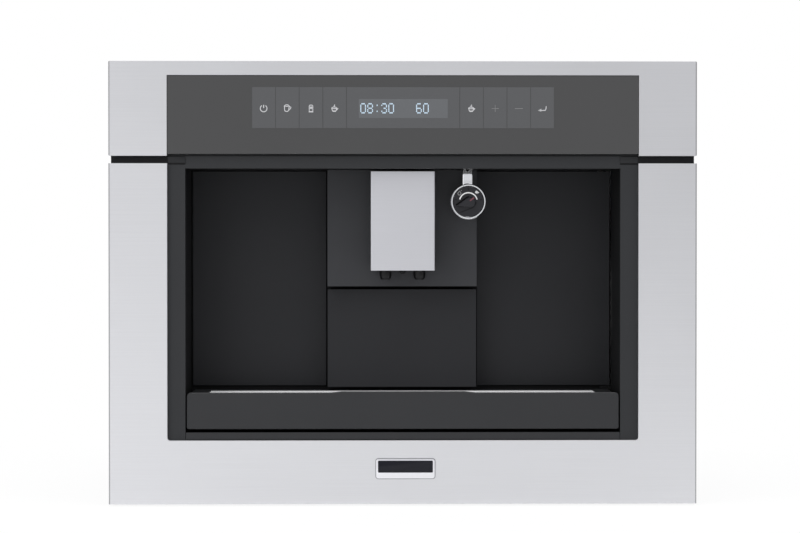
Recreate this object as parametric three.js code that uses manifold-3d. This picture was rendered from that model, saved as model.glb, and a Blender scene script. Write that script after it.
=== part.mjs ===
// Built-in bean-to-cup coffee machine for a 60 x 45 cm kitchen cabinet niche.
// Millimetres, +Z up, front towards -Y.
// Its steel front is in two pieces round a black surround and an open niche with a drip tray,
// a height-adjustable spout and a steam and hot-water tap. The machine rolls out of the cabinet on
// telescopic runners. Behind the niche are a water tank and a grounds drawer that pull out,
// and a brew unit behind a hinged service door.
// Drawn with the front face at y = 0 and y growing to the back. The last lines move it so that
// its origin is the middle of its footprint on the cabinet floor.
import * as THREE from "three";
import { mergeVertices } from "three/addons/utils/BufferGeometryUtils.js";
import Module from "manifold-3d";

const wasm = await Module();
wasm.setup();

// ---------------------------------------------------------------- driving dimensions
// the steel front and the cabinet it goes into
const FRONT_W = 595; // steel front, left to right
const FRONT_H = 448; // steel front, bottom to top
const BODY_D = 400; // steel front to the back of the mains inlet
const FLOOR_GAP = 2; // the front's lower edge over the cabinet floor
const FRONT_LAP = 17.5; // front's overlap over each cabinet side
const CABINET_GAP = 1; // mounting frame to each cabinet side
const SHEET = 1.5; // fascia and frame sheet
const CASE_SHEET = 1; // casing sheet
const FIT = 0.3; // gap between two pieces that touch
const RUN = 0.5; // gap at a sliding piece

// the front's openings, bands and gaps
const BORDER_SIDE = 59; // steel beside the opening
const BORDER_TOP = 14.1; // steel over the control glass
const BORDER_BOTTOM = 64.4; // steel under the opening
const PANEL_H = 95.6; // upper fascia
const SPLIT_GAP = 7.6; // between the upper and the lower fascia
const RETURN_D = 20; // folded outer edge of a fascia
const BEZEL_Y = 8; // face of the black surround's plate
const STILE_Y = 5; // face of the surround's upright stiles
const STILE_W = 18;
const BEZEL_T = 3;
const WALL = 2.5; // moulded plastic wall
const GLASS_T = 4;

// the niche
const NICHE_D = 100; // face of the back panels
const COLUMN_Y = 60; // face of the cover over the spout's slide
const NICHE_DROP = 5.1; // niche ceiling under the lower fascia's top
const PANEL_T = 3.2; // back panels
const SEAM = 1.5; // between two back panels
const COLUMN_W = 154.4; // upper centre panel
const COLUMN_H = 120.5; // upper centre panel, down from the ceiling
const COLUMN_GAP = 3.5; // between the centre panels
const DRAWER_BACKSET = 14; // drawer front behind the face of that cover
const LIP = 4; // frame behind the panels' outer edges

// the drip tray
const SILL_H = 7.8; // strip that shows under the tray
const TRAY_GAP = 3.5;
const TRAY_H = 36.9; // tray front
const TRAY_SIDE_GAP = 1.5;
const TRAY_HUMP = 1.2; // raised middle of the tray front
const TRAY_HUMP_W = 124;
const GRILLE_W = 396;
const GRILLE_DEEP = 2.2; // grille under the tray's edge
const GRILLE_T = 1.2;

// the spout
const SPOUT_W = 65.5;
const SPOUT_H = 101;
const SPOUT_Y = 20; // face of its steel plate
const SPOUT_TRAVEL = 45;
const NOZZLE_X = 17.4; // each side of the middle
const NOZZLE_R = 6.3;
const NOZZLE_DROP = 9.6; // under the steel plate

// the steam and hot-water tap
const TAP_X = 67;
const TAP_TUBE_Y = 48;
const TAP_TUBE_R = 5;
const TAP_DROP = 33.3; // dial centre under the niche ceiling
const DIAL_R = 18.1;
const DIAL_Y = 22;
const DIAL_T = 10;
const VALVE_R = 9.5;

// the runners
const RUNNER_H = 45;
const RUNNER_T = 12.7;
const RUNNER_L = 350;
const RUNNER_SHEET = 1.2;
const RUNNER_BACKSET = 30; // runner's front end behind the steel front
const RUNNER_Z = 36; // runner's middle over the cabinet floor
const FLANGE_H = 64; // mounting frame's upright flange
const BASE_Z = 5; // casing's underside over the cabinet floor
const TOP_GAP = 6; // casing's top under the front's top

// the pieces behind the niche
const TANK_WALL = 2.5;
const TANK_D = 150; // back panels to the tank's back
const TANK_CLEAR = 41; // niche ceiling over the tank's top
const BIN_D = 103; // back panels to the bin's back
const DOOR_PIN_INSET = 6.5; // hinge axis from the niche's side
const DOOR_PIN_BACK = 4.5; // hinge axis behind the door's face
const DOOR_PIN_R = 1.2;
const DOOR_BARREL_R = 2.4;
const BREW_INSET = 70.8; // brew unit beside the centre cover
const BREW_W = 100;
const BREW_D = 132; // back panels to the brew unit's back
const CHAMBER_SET = 67; // chamber in front of the brew unit's back
const CHAMBER_R = 24;
const CHAMBER_BORE_R = 20;
const CHAMBER_H = 50;
const BREW_TRAVEL = 40;
const SPINDLE_SET = 47; // spindle behind the chamber
const SPINDLE_R = 4;
const GEAR_MODULE = 1.25;
const SPINDLE_TEETH = 30;
const PINION_TEETH = 12;
const GEAR_T = 8;
const GRINDER_X = -12;
const GRINDER_BACK = 110; // grinder's middle from the machine's back
const HOPPER_W = 150;
const LID_GAP = 0.5;

// ---------------------------------------------------------------- stations worked out from them
const frontHalf = FRONT_W / 2;
const openingHalf = frontHalf - BORDER_SIDE;
const nicheHalf = openingHalf - STILE_W;
const columnHalf = COLUMN_W / 2;
const frameHalf = frontHalf - FRONT_LAP - CABINET_GAP;
const runnerOuter = frameHalf - SHEET - FIT;
const bodyHalf = runnerOuter - RUNNER_T - FIT;

const frontBottom = FLOOR_GAP;
const frontTop = frontBottom + FRONT_H;
const bodyTop = frontTop - TOP_GAP;
const panelBottom = frontTop - PANEL_H;
const surroundTop = panelBottom - SPLIT_GAP;
const openingBottom = frontBottom + BORDER_BOTTOM;
const nicheTop = surroundTop - NICHE_DROP;
const sillTop = openingBottom + SILL_H;
const trayBottom = sillTop + TRAY_GAP;
const trayTop = trayBottom + TRAY_H;
const columnBottom = nicheTop - COLUMN_H;
const drawerTop = columnBottom - COLUMN_GAP;
const deckTop = trayTop + TRAY_HUMP; // the bin and the tank slide out over the tray
const panelsBottom = deckTop + FIT;
const panelsTop = nicheTop - RUN;

const bezelBack = RETURN_D + 1;
const frameY = NICHE_D + PANEL_T + RUN; // face of the frame that holds the back panels
const frameBack = frameY + WALL;
const tankBack = NICHE_D + TANK_D;
const binBack = NICHE_D + BIN_D;
const doorPinX = nicheHalf - DOOR_PIN_INSET;
const doorPinY = NICHE_D + DOOR_PIN_BACK;
const brewX = columnHalf + BREW_INSET; // middle of the brew unit, behind the door
const brewBack = NICHE_D + BREW_D;
const chamberY = brewBack - CHAMBER_SET;
const spindleY = chamberY + SPINDLE_SET;
const grinderY = BODY_D - GRINDER_BACK;
const rearFlange = 2; // mains inlet's flange, proud of the rear panel
const rearY = BODY_D - rearFlange; // rear panel's outer face

// ---------------------------------------------------------------- materials
const finish = (color, roughness, metalness, rest = {}) =>
  new THREE.MeshStandardMaterial({ color, roughness, metalness, ...rest });
const brushedSteel = finish(0xd2d2d6, 0.38, 1);
const galvanised = finish(0xa9adb0, 0.5, 1);
const chrome = finish(0xe4e6ea, 0.08, 1);
const brass = finish(0xb89a5a, 0.35, 1);
const blackPlastic = finish(0x2b2c2f, 0.55, 0);
const satinBlack = finish(0x3a3b3e, 0.48, 0);
const darkGlass = finish(0x1c1c1d, 0.08, 0);
const clearSmoke = finish(0x6d7378, 0.1, 0, { transparent: true, opacity: 0.4 });
const boardGreen = finish(0x1f5a3a, 0.6, 0);
const whiteNylon = finish(0xd9d8d0, 0.5, 0);
const silicone = finish(0xb7b3a8, 0.7, 0);
const redPlastic = finish(0xa8242c, 0.5, 0);

// ---------------------------------------------------------------- making and cutting solids
const machine = new THREE.Group();

// A closed three.js geometry as a solid that can be joined and cut.
function solidOf(geometry) {
  const bare = geometry.index ? geometry.toNonIndexed() : geometry.clone();
  bare.deleteAttribute("normal");
  bare.deleteAttribute("uv");
  const merged = mergeVertices(bare, 1e-4);
  const mesh = new wasm.Mesh({
    numProp: 3,
    vertProperties: merged.attributes.position.array,
    triVerts: new Uint32Array(merged.index.array),
  });
  return new wasm.Manifold(mesh);
}

// Each piece has a material of its own.
function addPiece(name, solid, material) {
  const { vertProperties, triVerts } = solid.getMesh();
  const geometry = new THREE.BufferGeometry();
  geometry.setAttribute("position", new THREE.BufferAttribute(new Float32Array(vertProperties), 3));
  geometry.setIndex(new THREE.BufferAttribute(new Uint32Array(triVerts), 1));
  geometry.computeVertexNormals();
  const mesh = new THREE.Mesh(geometry, material.clone());
  mesh.name = name;
  machine.add(mesh);
}

const join = (first, ...others) => others.reduce((sum, piece) => sum.add(piece), first);
const cut = (first, ...others) => others.reduce((rest, piece) => rest.subtract(piece), first);
const range = (n) => Array.from({ length: n }, (_, i) => i);
const centred = (middle, size) => [middle - size / 2, middle + size / 2];
const inset = ([a, b], t) => [a + t, b - t];

// A box between two values on each axis.
function block([x0, x1], [y0, y1], [z0, z1]) {
  const geometry = new THREE.BoxGeometry(x1 - x0, y1 - y0, z1 - z0);
  return solidOf(geometry.translate((x0 + x1) / 2, (y0 + y1) / 2, (z0 + z1) / 2));
}

// A rectangle as a shape, its corners rounded where r is given.
function rectangle([u0, u1], [v0, v1], r = 0) {
  const shape = new THREE.Shape();
  if (!r) return shape.moveTo(u0, v0).lineTo(u1, v0).lineTo(u1, v1).lineTo(u0, v1).closePath();
  shape.moveTo(u0 + r, v0).lineTo(u1 - r, v0).absarc(u1 - r, v0 + r, r, -Math.PI / 2, 0);
  shape.lineTo(u1, v1 - r).absarc(u1 - r, v1 - r, r, 0, Math.PI / 2);
  shape.lineTo(u0 + r, v1).absarc(u0 + r, v1 - r, r, Math.PI / 2, Math.PI);
  return shape.lineTo(u0, v0 + r).absarc(u0 + r, v0 + r, r, Math.PI, 1.5 * Math.PI);
}

const polygon = (points) => new THREE.Shape(points.map(([u, v]) => new THREE.Vector2(u, v)));
const circle = (u, v, r) => new THREE.Shape().absarc(u, v, r, 0, 2 * Math.PI);
const slotted = (shape, holes) => {
  shape.holes.push(...holes);
  return shape;
};

// A shape is extruded in one of three ways: as seen from the front (x, z), from the side (y, z)
// or from above (x, y).
const FRONT_VIEW = new THREE.Matrix4().makeRotationX(Math.PI / 2);
const SIDE_VIEW = new THREE.Matrix4().makeBasis(
  new THREE.Vector3(0, 1, 0),
  new THREE.Vector3(0, 0, 1),
  new THREE.Vector3(1, 0, 0),
);
function withoutRepeats(points) {
  const kept = points.filter((p, i) => i === 0 || p.distanceTo(points[i - 1]) > 1e-4);
  if (kept[0].distanceTo(kept[kept.length - 1]) < 1e-4) kept.pop();
  return kept;
}
function extruded(drawn, depth, segments, bevel) {
  const shape = new THREE.Shape(withoutRepeats(drawn.getPoints(segments)));
  const options = { depth, curveSegments: segments, bevelEnabled: bevel > 0, steps: 1 };
  if (!bevel) return new THREE.ExtrudeGeometry(shape, options);
  const edge = { bevelThickness: bevel, bevelSize: bevel, bevelOffset: -bevel, bevelSegments: 1 };
  const bevelled = new THREE.ExtrudeGeometry(shape, { ...options, ...edge, depth: depth - 2 * bevel });
  return bevelled.translate(0, 0, bevel);
}
// The shape's holes are cut through the finished plate.
function plate(shape, thickness, segments, bevel, place) {
  const through = (hole) => extruded(hole, thickness + 2, segments, 0).translate(0, 0, -1);
  const holes = shape.holes.map((hole) => solidOf(place(through(hole))));
  return cut(solidOf(place(extruded(shape, thickness, segments, bevel))), ...holes);
}
const frontPlate = (shape, [y0, y1], segments = 4, bevel = 0) =>
  plate(shape, y1 - y0, segments, bevel, (g) => g.applyMatrix4(FRONT_VIEW).translate(0, y1, 0));
const sidePlate = (shape, [x0, x1], segments = 4, bevel = 0) =>
  plate(shape, x1 - x0, segments, bevel, (g) => g.applyMatrix4(SIDE_VIEW).translate(x0, 0, 0));
const floorPlate = (shape, [z0, z1], segments = 4) =>
  plate(shape, z1 - z0, segments, 0, (g) => g.translate(0, 0, z0));

// A turned piece from [radius, height] points: upright at (x, y), lying along Y at (x, z),
// or lying along X at (y, z).
function profileLathe(points, segments) {
  const turnedPoints = points.map(([r, h]) => new THREE.Vector2(r, h));
  if (THREE.ShapeUtils.area(turnedPoints) < 0) turnedPoints.reverse();
  return new THREE.LatheGeometry([...turnedPoints, turnedPoints[0]], segments);
}
const upright = (points, x, y, segments = 24) =>
  solidOf(profileLathe(points, segments).rotateX(Math.PI / 2).translate(x, y, 0));
const lying = (points, x, z, segments = 24) => solidOf(profileLathe(points, segments).translate(x, 0, z));
const lengthwise = (points, y, z, segments = 12) =>
  solidOf(profileLathe(points, segments).rotateZ(-Math.PI / 2).translate(0, y, z));

// Round bars: upright, lying along Y, and lying along X.
const barProfile = (r, [from, to]) => [[0, from], [r, from], [r, to], [0, to]];
const post = (r, z, x, y, segments = 24) => upright(barProfile(r, z), x, y, segments);
const bar = (r, y, x, z, segments = 24) => lying(barProfile(r, y), x, z, segments);
const across = (r, x, y, z, segments = 12) => lengthwise(barProfile(r, x), y, z, segments);

// A skin over rings that all have the same number of points, closed at both ends.
function loft(rings) {
  const n = rings[0].length;
  const positions = rings.flat().flat();
  const index = [];
  for (let k = 0; k + 1 < rings.length; k++)
    for (let i = 0; i < n; i++) {
      const a = k * n + i;
      const b = k * n + ((i + 1) % n);
      index.push(a, b, b + n, a, b + n, a + n);
    }
  const last = (rings.length - 1) * n;
  for (let i = 1; i + 1 < n; i++) index.push(0, i + 1, i, last, last + i, last + i + 1);
  const geometry = new THREE.BufferGeometry();
  geometry.setAttribute("position", new THREE.Float32BufferAttribute(positions, 3));
  geometry.setIndex(index);
  return solidOf(geometry);
}
function roundedRing(x, y, z, half, r) {
  const outline = rectangle([-half, half], [-half, half], r).getPoints(3);
  return withoutRepeats(outline).map((p) => [x + p.x, y + p.y, z]);
}

// A hose of one radius along smooth points.
function hose(points, r) {
  const stops = points.map((p) => new THREE.Vector3(...p));
  const route = new THREE.CatmullRomCurve3(stops, false, "centripetal");
  const steps = Math.min(30, Math.ceil(route.getLength() / (6 * r)));
  const section = new THREE.Shape().absarc(0, 0, r, 0, 2 * Math.PI);
  return solidOf(new THREE.ExtrudeGeometry(section, { steps, curveSegments: 4, extrudePath: route }));
}

// The same piece on the other side of the machine: x changes sign, and each face's corners change
// places, so that it points out again.
function mirrored(solid) {
  const { vertProperties, triVerts } = solid.getMesh();
  const otherSide = vertProperties.map((value, i) => (i % 3 === 0 ? -value : value));
  const turned = triVerts.map((_, i) => triVerts[i + [0, 1, -1][i % 3]]);
  return new wasm.Manifold(new wasm.Mesh({ numProp: 3, vertProperties: otherSide, triVerts: turned }));
}
const bothSides = (name, solid, material) => {
  addPiece(`${name}_right`, solid, material);
  addPiece(`${name}_left`, mirrored(solid), material);
};

// ---------------------------------------------------------------- mounting frame and runners
// A folded sheet tray stands on the cabinet floor. Its two upright flanges carry the outer members
// of the runners.
const frameFront = RUNNER_BACKSET - 6;
const frameRear = BODY_D;
const REAR_LIP_H = 24;
const frameProfile = polygon([
  [-frameHalf, 0],
  [frameHalf, 0],
  [frameHalf, FLANGE_H],
  [frameHalf - SHEET, FLANGE_H],
  [frameHalf - SHEET, SHEET],
  [SHEET - frameHalf, SHEET],
  [SHEET - frameHalf, FLANGE_H],
  [-frameHalf, FLANGE_H],
]);
const rearLip = block([-frameHalf, frameHalf], [frameRear - SHEET, frameRear], [0, REAR_LIP_H]);
addPiece("cabinet_frame", join(frontPlate(frameProfile, [frameFront, frameRear]), rearLip), galvanised);

// A runner member is a C section. u runs from the cabinet side towards the machine, v is up from the middle.
function runnerMember([back, front], half, lip) {
  const t = RUNNER_SHEET * Math.sign(front - back);
  const inside = half - RUNNER_SHEET;
  const points = [
    [back, -half],
    [front, -half],
    [front, lip - half],
    [front - t, lip - half],
    [front - t, -inside],
    [back + t, -inside],
    [back + t, inside],
    [front - t, inside],
    [front - t, half - lip],
    [front, half - lip],
    [front, half],
    [back, half],
  ];
  const outline = polygon(points.map(([u, v]) => [runnerOuter - u, RUNNER_Z + v]));
  return frontPlate(outline, [RUNNER_BACKSET, RUNNER_BACKSET + RUNNER_L]);
}
const RACE = 5; // room for the balls between two members
const middleHalf = RUNNER_H / 2 - RUNNER_SHEET - RACE;
const innerHalf = middleHalf - RUNNER_SHEET - RACE;
bothSides("outer_rail", runnerMember([0, 10.8], RUNNER_H / 2, 4.6), galvanised);
bothSides("middle_rail", runnerMember([2.4, 10.2], middleHalf, 3), galvanised);
bothSides("inner_rail", runnerMember([RUNNER_T, 5.2], innerHalf, 2.4), galvanised);

// ---------------------------------------------------------------- casing
// Sheet base, sides, back and top. The base and the deck are channels between the two sides.
const sideInner = bodyHalf - CASE_SHEET;
const fitHalf = sideInner - FIT;
const casingFront = bezelBack + FIT;
const casingRear = rearY - CASE_SHEET - FIT;
const channel = (z, flangeEnd, half = fitHalf) => {
  const up = Math.sign(flangeEnd - z);
  const s = CASE_SHEET;
  return polygon([
    [-half, z],
    [half, z],
    [half, flangeEnd],
    [half - s, flangeEnd],
    [half - s, z + up * s],
    [s - half, z + up * s],
    [s - half, flangeEnd],
    [-half, flangeEnd],
  ]);
};
const baseTop = BASE_Z + CASE_SHEET;
const BASE_FLANGE = 20;
const baseY = [casingFront + CASE_SHEET + FIT, casingRear - CASE_SHEET - FIT];
addPiece("base_pan", frontPlate(channel(BASE_Z, BASE_Z + BASE_FLANGE), baseY), galvanised);

// Each side is a sheet with its front and rear edges folded in, stiffening beads and a row of air slots.
const FOLD = 12;
const BEAD_W = 12;
const BEAD_H = 1.2; // bead's height over the sheet
const BEAD_COUNT = 2;
const BEAD_MARGIN = 34; // bead's ends from the sheet's edges
const underCover = bodyTop - CASE_SHEET - FIT;
const sidePlan = polygon([
  [bodyHalf, casingFront],
  [bodyHalf, casingRear],
  [bodyHalf - FOLD, casingRear],
  [bodyHalf - FOLD, casingRear - CASE_SHEET],
  [sideInner, casingRear - CASE_SHEET],
  [sideInner, casingFront + CASE_SHEET],
  [bodyHalf - FOLD, casingFront + CASE_SHEET],
  [bodyHalf - FOLD, casingFront],
]);
const SIDE_SLOTS = 9;
const SIDE_SLOT_W = 8;
const SIDE_SLOT_PITCH = 24;
const SIDE_SLOT_START = 150; // first slot behind the steel front
const sideSlotTop = bodyTop - 40;
const sideSlotBottom = bodyTop - 110;
const sideSlots = range(SIDE_SLOTS).map((k) => {
  const y = SIDE_SLOT_START + SIDE_SLOT_PITCH * k;
  return block([sideInner - 1, bodyHalf + 1], [y, y + SIDE_SLOT_W], [sideSlotBottom, sideSlotTop]);
});
const beadPitch = (sideSlotBottom - FLANGE_H) / (BEAD_COUNT + 1);
const beadY = inset([casingFront, casingRear], BEAD_MARGIN);
const sideBeads = range(BEAD_COUNT).map((k) => {
  const z = FLANGE_H + beadPitch * (k + 1);
  const outline = rectangle(beadY, centred(z, BEAD_W), BEAD_W / 2);
  return sidePlate(outline, [sideInner + 0.1, bodyHalf + BEAD_H], 1, BEAD_H / 2);
});
const sideSheet = join(floorPlate(sidePlan, [BASE_Z, underCover]), ...sideBeads);
bothSides("side_panel", cut(sideSheet, ...sideSlots), galvanised);

// ---------------------------------------------------------------- mains inlet and switch
// One module low in the rear panel holds a socket for the mains lead and a rocker switch.
const inletX = -190;
const inletZ = 46;
const SOCKET_W = 28;
const SOCKET_H = 20.5;
const SWITCH_W = 13;
const SWITCH_H = 19.5;
const MODULE_W = 66;
const MODULE_H = 32;
const MODULE_D = 24;
const MODULE_RIM_X = 4; // flange beyond the body
const MODULE_RIM_Z = 3;
const socketX = inletX - 12;
const switchX = inletX + 20;
const moduleX = inset(centred(inletX, MODULE_W), MODULE_RIM_X);
const moduleZ = inset(centred(inletZ, MODULE_H), MODULE_RIM_Z);
const moduleFront = rearY - MODULE_D;
const moduleBody = block(moduleX, [moduleFront, rearY + FIT + 1], moduleZ);
const moduleFlange = frontPlate(
  rectangle(centred(inletX, MODULE_W), centred(inletZ, MODULE_H), 3),
  [rearY + FIT, BODY_D],
);
const socketHole = frontPlate(
  rectangle(centred(socketX, SOCKET_W), centred(inletZ, SOCKET_H), 4),
  [moduleFront + 4, BODY_D + 1],
);
// The earth pin stands above the two others.
const PIN_PITCH = 7;
const contactPins = [-1, 0, 1].map((side) => {
  const z = side === 0 ? inletZ + 3 : inletZ - 3;
  return block(centred(socketX + side * PIN_PITCH, 2), [moduleFront + 3, rearY - 4], centred(z, 4));
});
const switchHole = block(
  centred(switchX, SWITCH_W + 2 * RUN),
  [moduleFront + 6, BODY_D + 1],
  centred(inletZ, SWITCH_H + 2 * RUN),
);
addPiece(
  "mains_inlet",
  join(cut(join(moduleBody, moduleFlange), socketHole, switchHole), ...contactPins),
  blackPlastic,
);

// The rocker is a bar with two faces at a shallow angle. It tips about its middle.
const rockerBack = moduleFront + 14;
const [rockerLow, rockerHigh] = inset(centred(inletZ, SWITCH_H), 1.6);
const rockerShape = polygon([
  [rockerBack, inletZ - 4],
  [rockerBack, inletZ + 4],
  [BODY_D - 7, rockerHigh],
  [BODY_D - 0.4, rockerHigh],
  [BODY_D - 3, inletZ],
  [BODY_D - 5, rockerLow],
  [BODY_D - 10, rockerLow],
]);
addPiece("mains_switch", sidePlate(rockerShape, centred(switchX, SWITCH_W)), redPlastic);

// Rear panel with its air slots, two stiffening beads and the hole for the inlet.
const rearOutline = rectangle([-bodyHalf, bodyHalf], [BASE_Z, underCover]);
const inletHole = rectangle(inset(moduleX, -FIT), inset(moduleZ, -FIT));
const REAR_SLOTS = 12;
const REAR_SLOT_W = 6;
const REAR_SLOT_PITCH = 13;
const REAR_SLOT_START = 60; // first slot from the middle
const rearSlotZ = [152, 232];
const rearSlots = range(REAR_SLOTS).map((k) => {
  const x = REAR_SLOT_START + REAR_SLOT_PITCH * k;
  return rectangle([x, x + REAR_SLOT_W], rearSlotZ);
});
const REAR_BEAD_X = 120;
const REAR_BEAD_L = 200;
const REAR_BEAD_DROP = 60; // under the casing's top
const rearBeads = [-1, 1].map((side) => {
  const x = centred(side * REAR_BEAD_X, REAR_BEAD_L);
  const outline = rectangle(x, centred(bodyTop - REAR_BEAD_DROP, BEAD_W), BEAD_W / 2);
  return frontPlate(outline, [rearY - CASE_SHEET + 0.1, rearY + BEAD_H], 1, BEAD_H / 2);
});
const rearSheet = frontPlate(slotted(rearOutline, [inletHole, ...rearSlots]), [rearY - CASE_SHEET, rearY]);
addPiece("rear_panel", join(rearSheet, ...rearBeads), galvanised);

// ---------------------------------------------------------------- steel front
// Two pieces of brushed sheet with folded edges. A straight gap between them shows the black surround.
const GLASS_RISE = 1.7; // glass over the fascia's lower edge
const windowBottom = panelBottom + GLASS_RISE;
const windowTop = frontTop - BORDER_TOP;
const nearBezel = BEZEL_Y - FIT;
const insideFront = inset([-frontHalf, frontHalf], SHEET);
const behindSheet = [SHEET, RETURN_D + 1];
const behindBezel = [nearBezel, RETURN_D + 1];
const upperShell = cut(
  frontPlate(rectangle([-frontHalf, frontHalf], [panelBottom, frontTop], 1.2), [0, RETURN_D], 2),
  block(insideFront, behindSheet, [panelBottom + SHEET, frontTop - SHEET]),
  block(insideFront, behindBezel, [panelBottom - 1, frontTop - SHEET]),
  block(centred(0, 2 * (openingHalf + FIT)), [-1, RETURN_D + 1], [panelBottom - 1, windowTop]),
);
addPiece("upper_fascia", upperShell, brushedSteel);

// The lower piece is a U round the niche, with a small radius at the opening's two lower corners.
const CORNER_R = 3;
const cornerX = openingHalf - CORNER_R;
const cornerZ = openingBottom + CORNER_R;
const lowerOutline = new THREE.Shape()
  .moveTo(-frontHalf, frontBottom)
  .lineTo(frontHalf, frontBottom)
  .lineTo(frontHalf, surroundTop)
  .lineTo(openingHalf, surroundTop)
  .lineTo(openingHalf, cornerZ)
  .absarc(cornerX, cornerZ, CORNER_R, 0, -Math.PI / 2, true)
  .lineTo(-cornerX, openingBottom)
  .absarc(-cornerX, cornerZ, CORNER_R, -Math.PI / 2, -Math.PI, true)
  .lineTo(-openingHalf, surroundTop)
  .lineTo(-frontHalf, surroundTop);
const besideX = [openingHalf + SHEET, frontHalf - SHEET];
const besideZ = [frontBottom + SHEET, surroundTop - SHEET];
const besideHollow = block(besideX, behindSheet, besideZ);
const stileRoomX = centred(0, 2 * (besideX[0] + 1));
const stileRoomZ = [openingBottom - SHEET - 1, surroundTop + 1];
const lowerHollows = [
  besideHollow,
  mirrored(besideHollow),
  block(insideFront, behindSheet, [besideZ[0], openingBottom - SHEET]),
  block(stileRoomX, [STILE_Y - FIT, RETURN_D + 1], stileRoomZ),
  block(insideFront, behindBezel, [openingBottom, surroundTop + 1]),
];
addPiece("lower_fascia", cut(frontPlate(lowerOutline, [0, RETURN_D], 3), ...lowerHollows), brushedSteel);

// ---------------------------------------------------------------- black surround
// A plate behind both steel pieces with an upright stile each side of the niche and a header bar over it.
// A rib behind the plate meets the casing.
const BOARD_WINDOW = 320; // opening for the control board
const BOARD_WINDOW_EDGE = 10;
const STILE_DROP = 1.1; // stile's top under the steel's edge
const RIB_EDGE = 10; // rib in from the steel's top and bottom
const surroundZ = inset([frontBottom, frontTop], SHEET + FIT);
const throughSurround = [0, 2 * BEZEL_Y];
const surroundPlate = cut(
  block(inset([-frontHalf, frontHalf], SHEET + FIT), [BEZEL_Y, BEZEL_Y + BEZEL_T], surroundZ),
  block([-nicheHalf, nicheHalf], throughSurround, [openingBottom + FIT, nicheTop]),
  block(centred(0, BOARD_WINDOW), throughSurround, inset([windowBottom, windowTop], BOARD_WINDOW_EDGE)),
);
const stile = block(
  [nicheHalf, openingHalf - FIT],
  [STILE_Y, BEZEL_Y + 1],
  [openingBottom + FIT, surroundTop - STILE_DROP],
);
const header = block([-nicheHalf, nicheHalf], [STILE_Y, BEZEL_Y + 1], [nicheTop, panelBottom - FIT]);
const ribX = [-bodyHalf, bodyHalf];
const ribZ = inset([frontBottom, frontTop], RIB_EDGE);
const rearRib = cut(
  block(ribX, [BEZEL_Y + BEZEL_T - 1, bezelBack], ribZ),
  block(inset(ribX, WALL), [0, bezelBack + 1], inset(ribZ, WALL)),
);
addPiece("front_surround", join(surroundPlate, stile, mirrored(stile), header, rearRib), blackPlastic);

// The sill is an angle under the tray. Its foot runs back under the niche floor.
const sillBottom = openingBottom + 2 * FIT;
const sillShape = polygon([
  [STILE_Y, sillBottom],
  [bezelBack, sillBottom],
  [bezelBack, sillBottom + WALL],
  [STILE_Y + WALL, sillBottom + WALL],
  [STILE_Y + WALL, sillTop],
  [STILE_Y, sillTop],
]);
addPiece("sill", sidePlate(sillShape, [RUN - nicheHalf, nicheHalf - RUN]), satinBlack);

// ---------------------------------------------------------------- control panel
const GLASS_Y = 0.3; // glass behind the steel's face
const glassY = [GLASS_Y, GLASS_Y + GLASS_T];
const glassOutline = rectangle([-openingHalf, openingHalf], inset([windowBottom, windowTop], FIT));
addPiece("control_glass", frontPlate(glassOutline, glassY, 2, 0.4), darkGlass);

// Board with a row of touch pads each side of the display. The display's own housing holds it off the glass.
const CIRCUIT_T = 1.6;
const BOARD_W = 310;
const BOARD_H = 44;
const BOARD_Y = 15;
const DISPLAY_W = 96;
const DISPLAY_H = 26;
const DISPLAY_X = 2;
const DISPLAY_RISE = 7; // display over the middle of the glass
const KEY_PITCH = 24;
const KEYS = 4; // each side of the display
const PAD_R = 7;
const padX = [-140.5, 68.5]; // first pad of each row
const displayZ = (windowBottom + windowTop) / 2 + DISPLAY_RISE;
const toGlass = [glassY[1] + FIT, BOARD_Y + 0.1];
const boardBack = BOARD_Y + CIRCUIT_T - 0.1;
const boardParts = [
  block(centred(0, BOARD_W), [BOARD_Y, BOARD_Y + CIRCUIT_T], centred(displayZ, BOARD_H)),
  block(centred(DISPLAY_X, DISPLAY_W), toGlass, centred(displayZ, DISPLAY_H)),
  block(centred(-50, 40), [boardBack, boardBack + 7.5], centred(displayZ - 1, DISPLAY_H)),
  block(centred(52, 24), [boardBack, boardBack + 3.5], centred(displayZ, DISPLAY_H - 2)),
];
const touchPads = padX.flatMap((first) =>
  range(KEYS).map((k) => bar(PAD_R, toGlass, first + KEY_PITCH * k, displayZ, 8)),
);
addPiece("control_board", join(...boardParts, ...touchPads), boardGreen);

// ---------------------------------------------------------------- top cover, its lids and the grind dial
// Each lid turns on two pins at its rear edge, between lugs that stand on the cover.
const chuteX = brewX;
const chuteY = NICHE_D + 22;
const CHUTE_W = 34;
const CHUTE_D = 24;
const CHUTE_LID_LAP = 6;
const HOPPER_LID_LAP = 4;
const grindX = GRINDER_X + HOPPER_W / 2 + 29;
const grindY = BODY_D - 70;
const GRIND_R = 14;
const GRIND_STEM_R = 4;
const LID_T = 2.4;
const LID_BARREL_R = 2.2;
const LID_PIN_R = 1.1;
const LUG_SET = 10; // lug's inner face in from the lid's side
const LUG_W = 5;
const lidZ = [bodyTop + LID_GAP, bodyTop + LID_GAP + LID_T];

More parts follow.
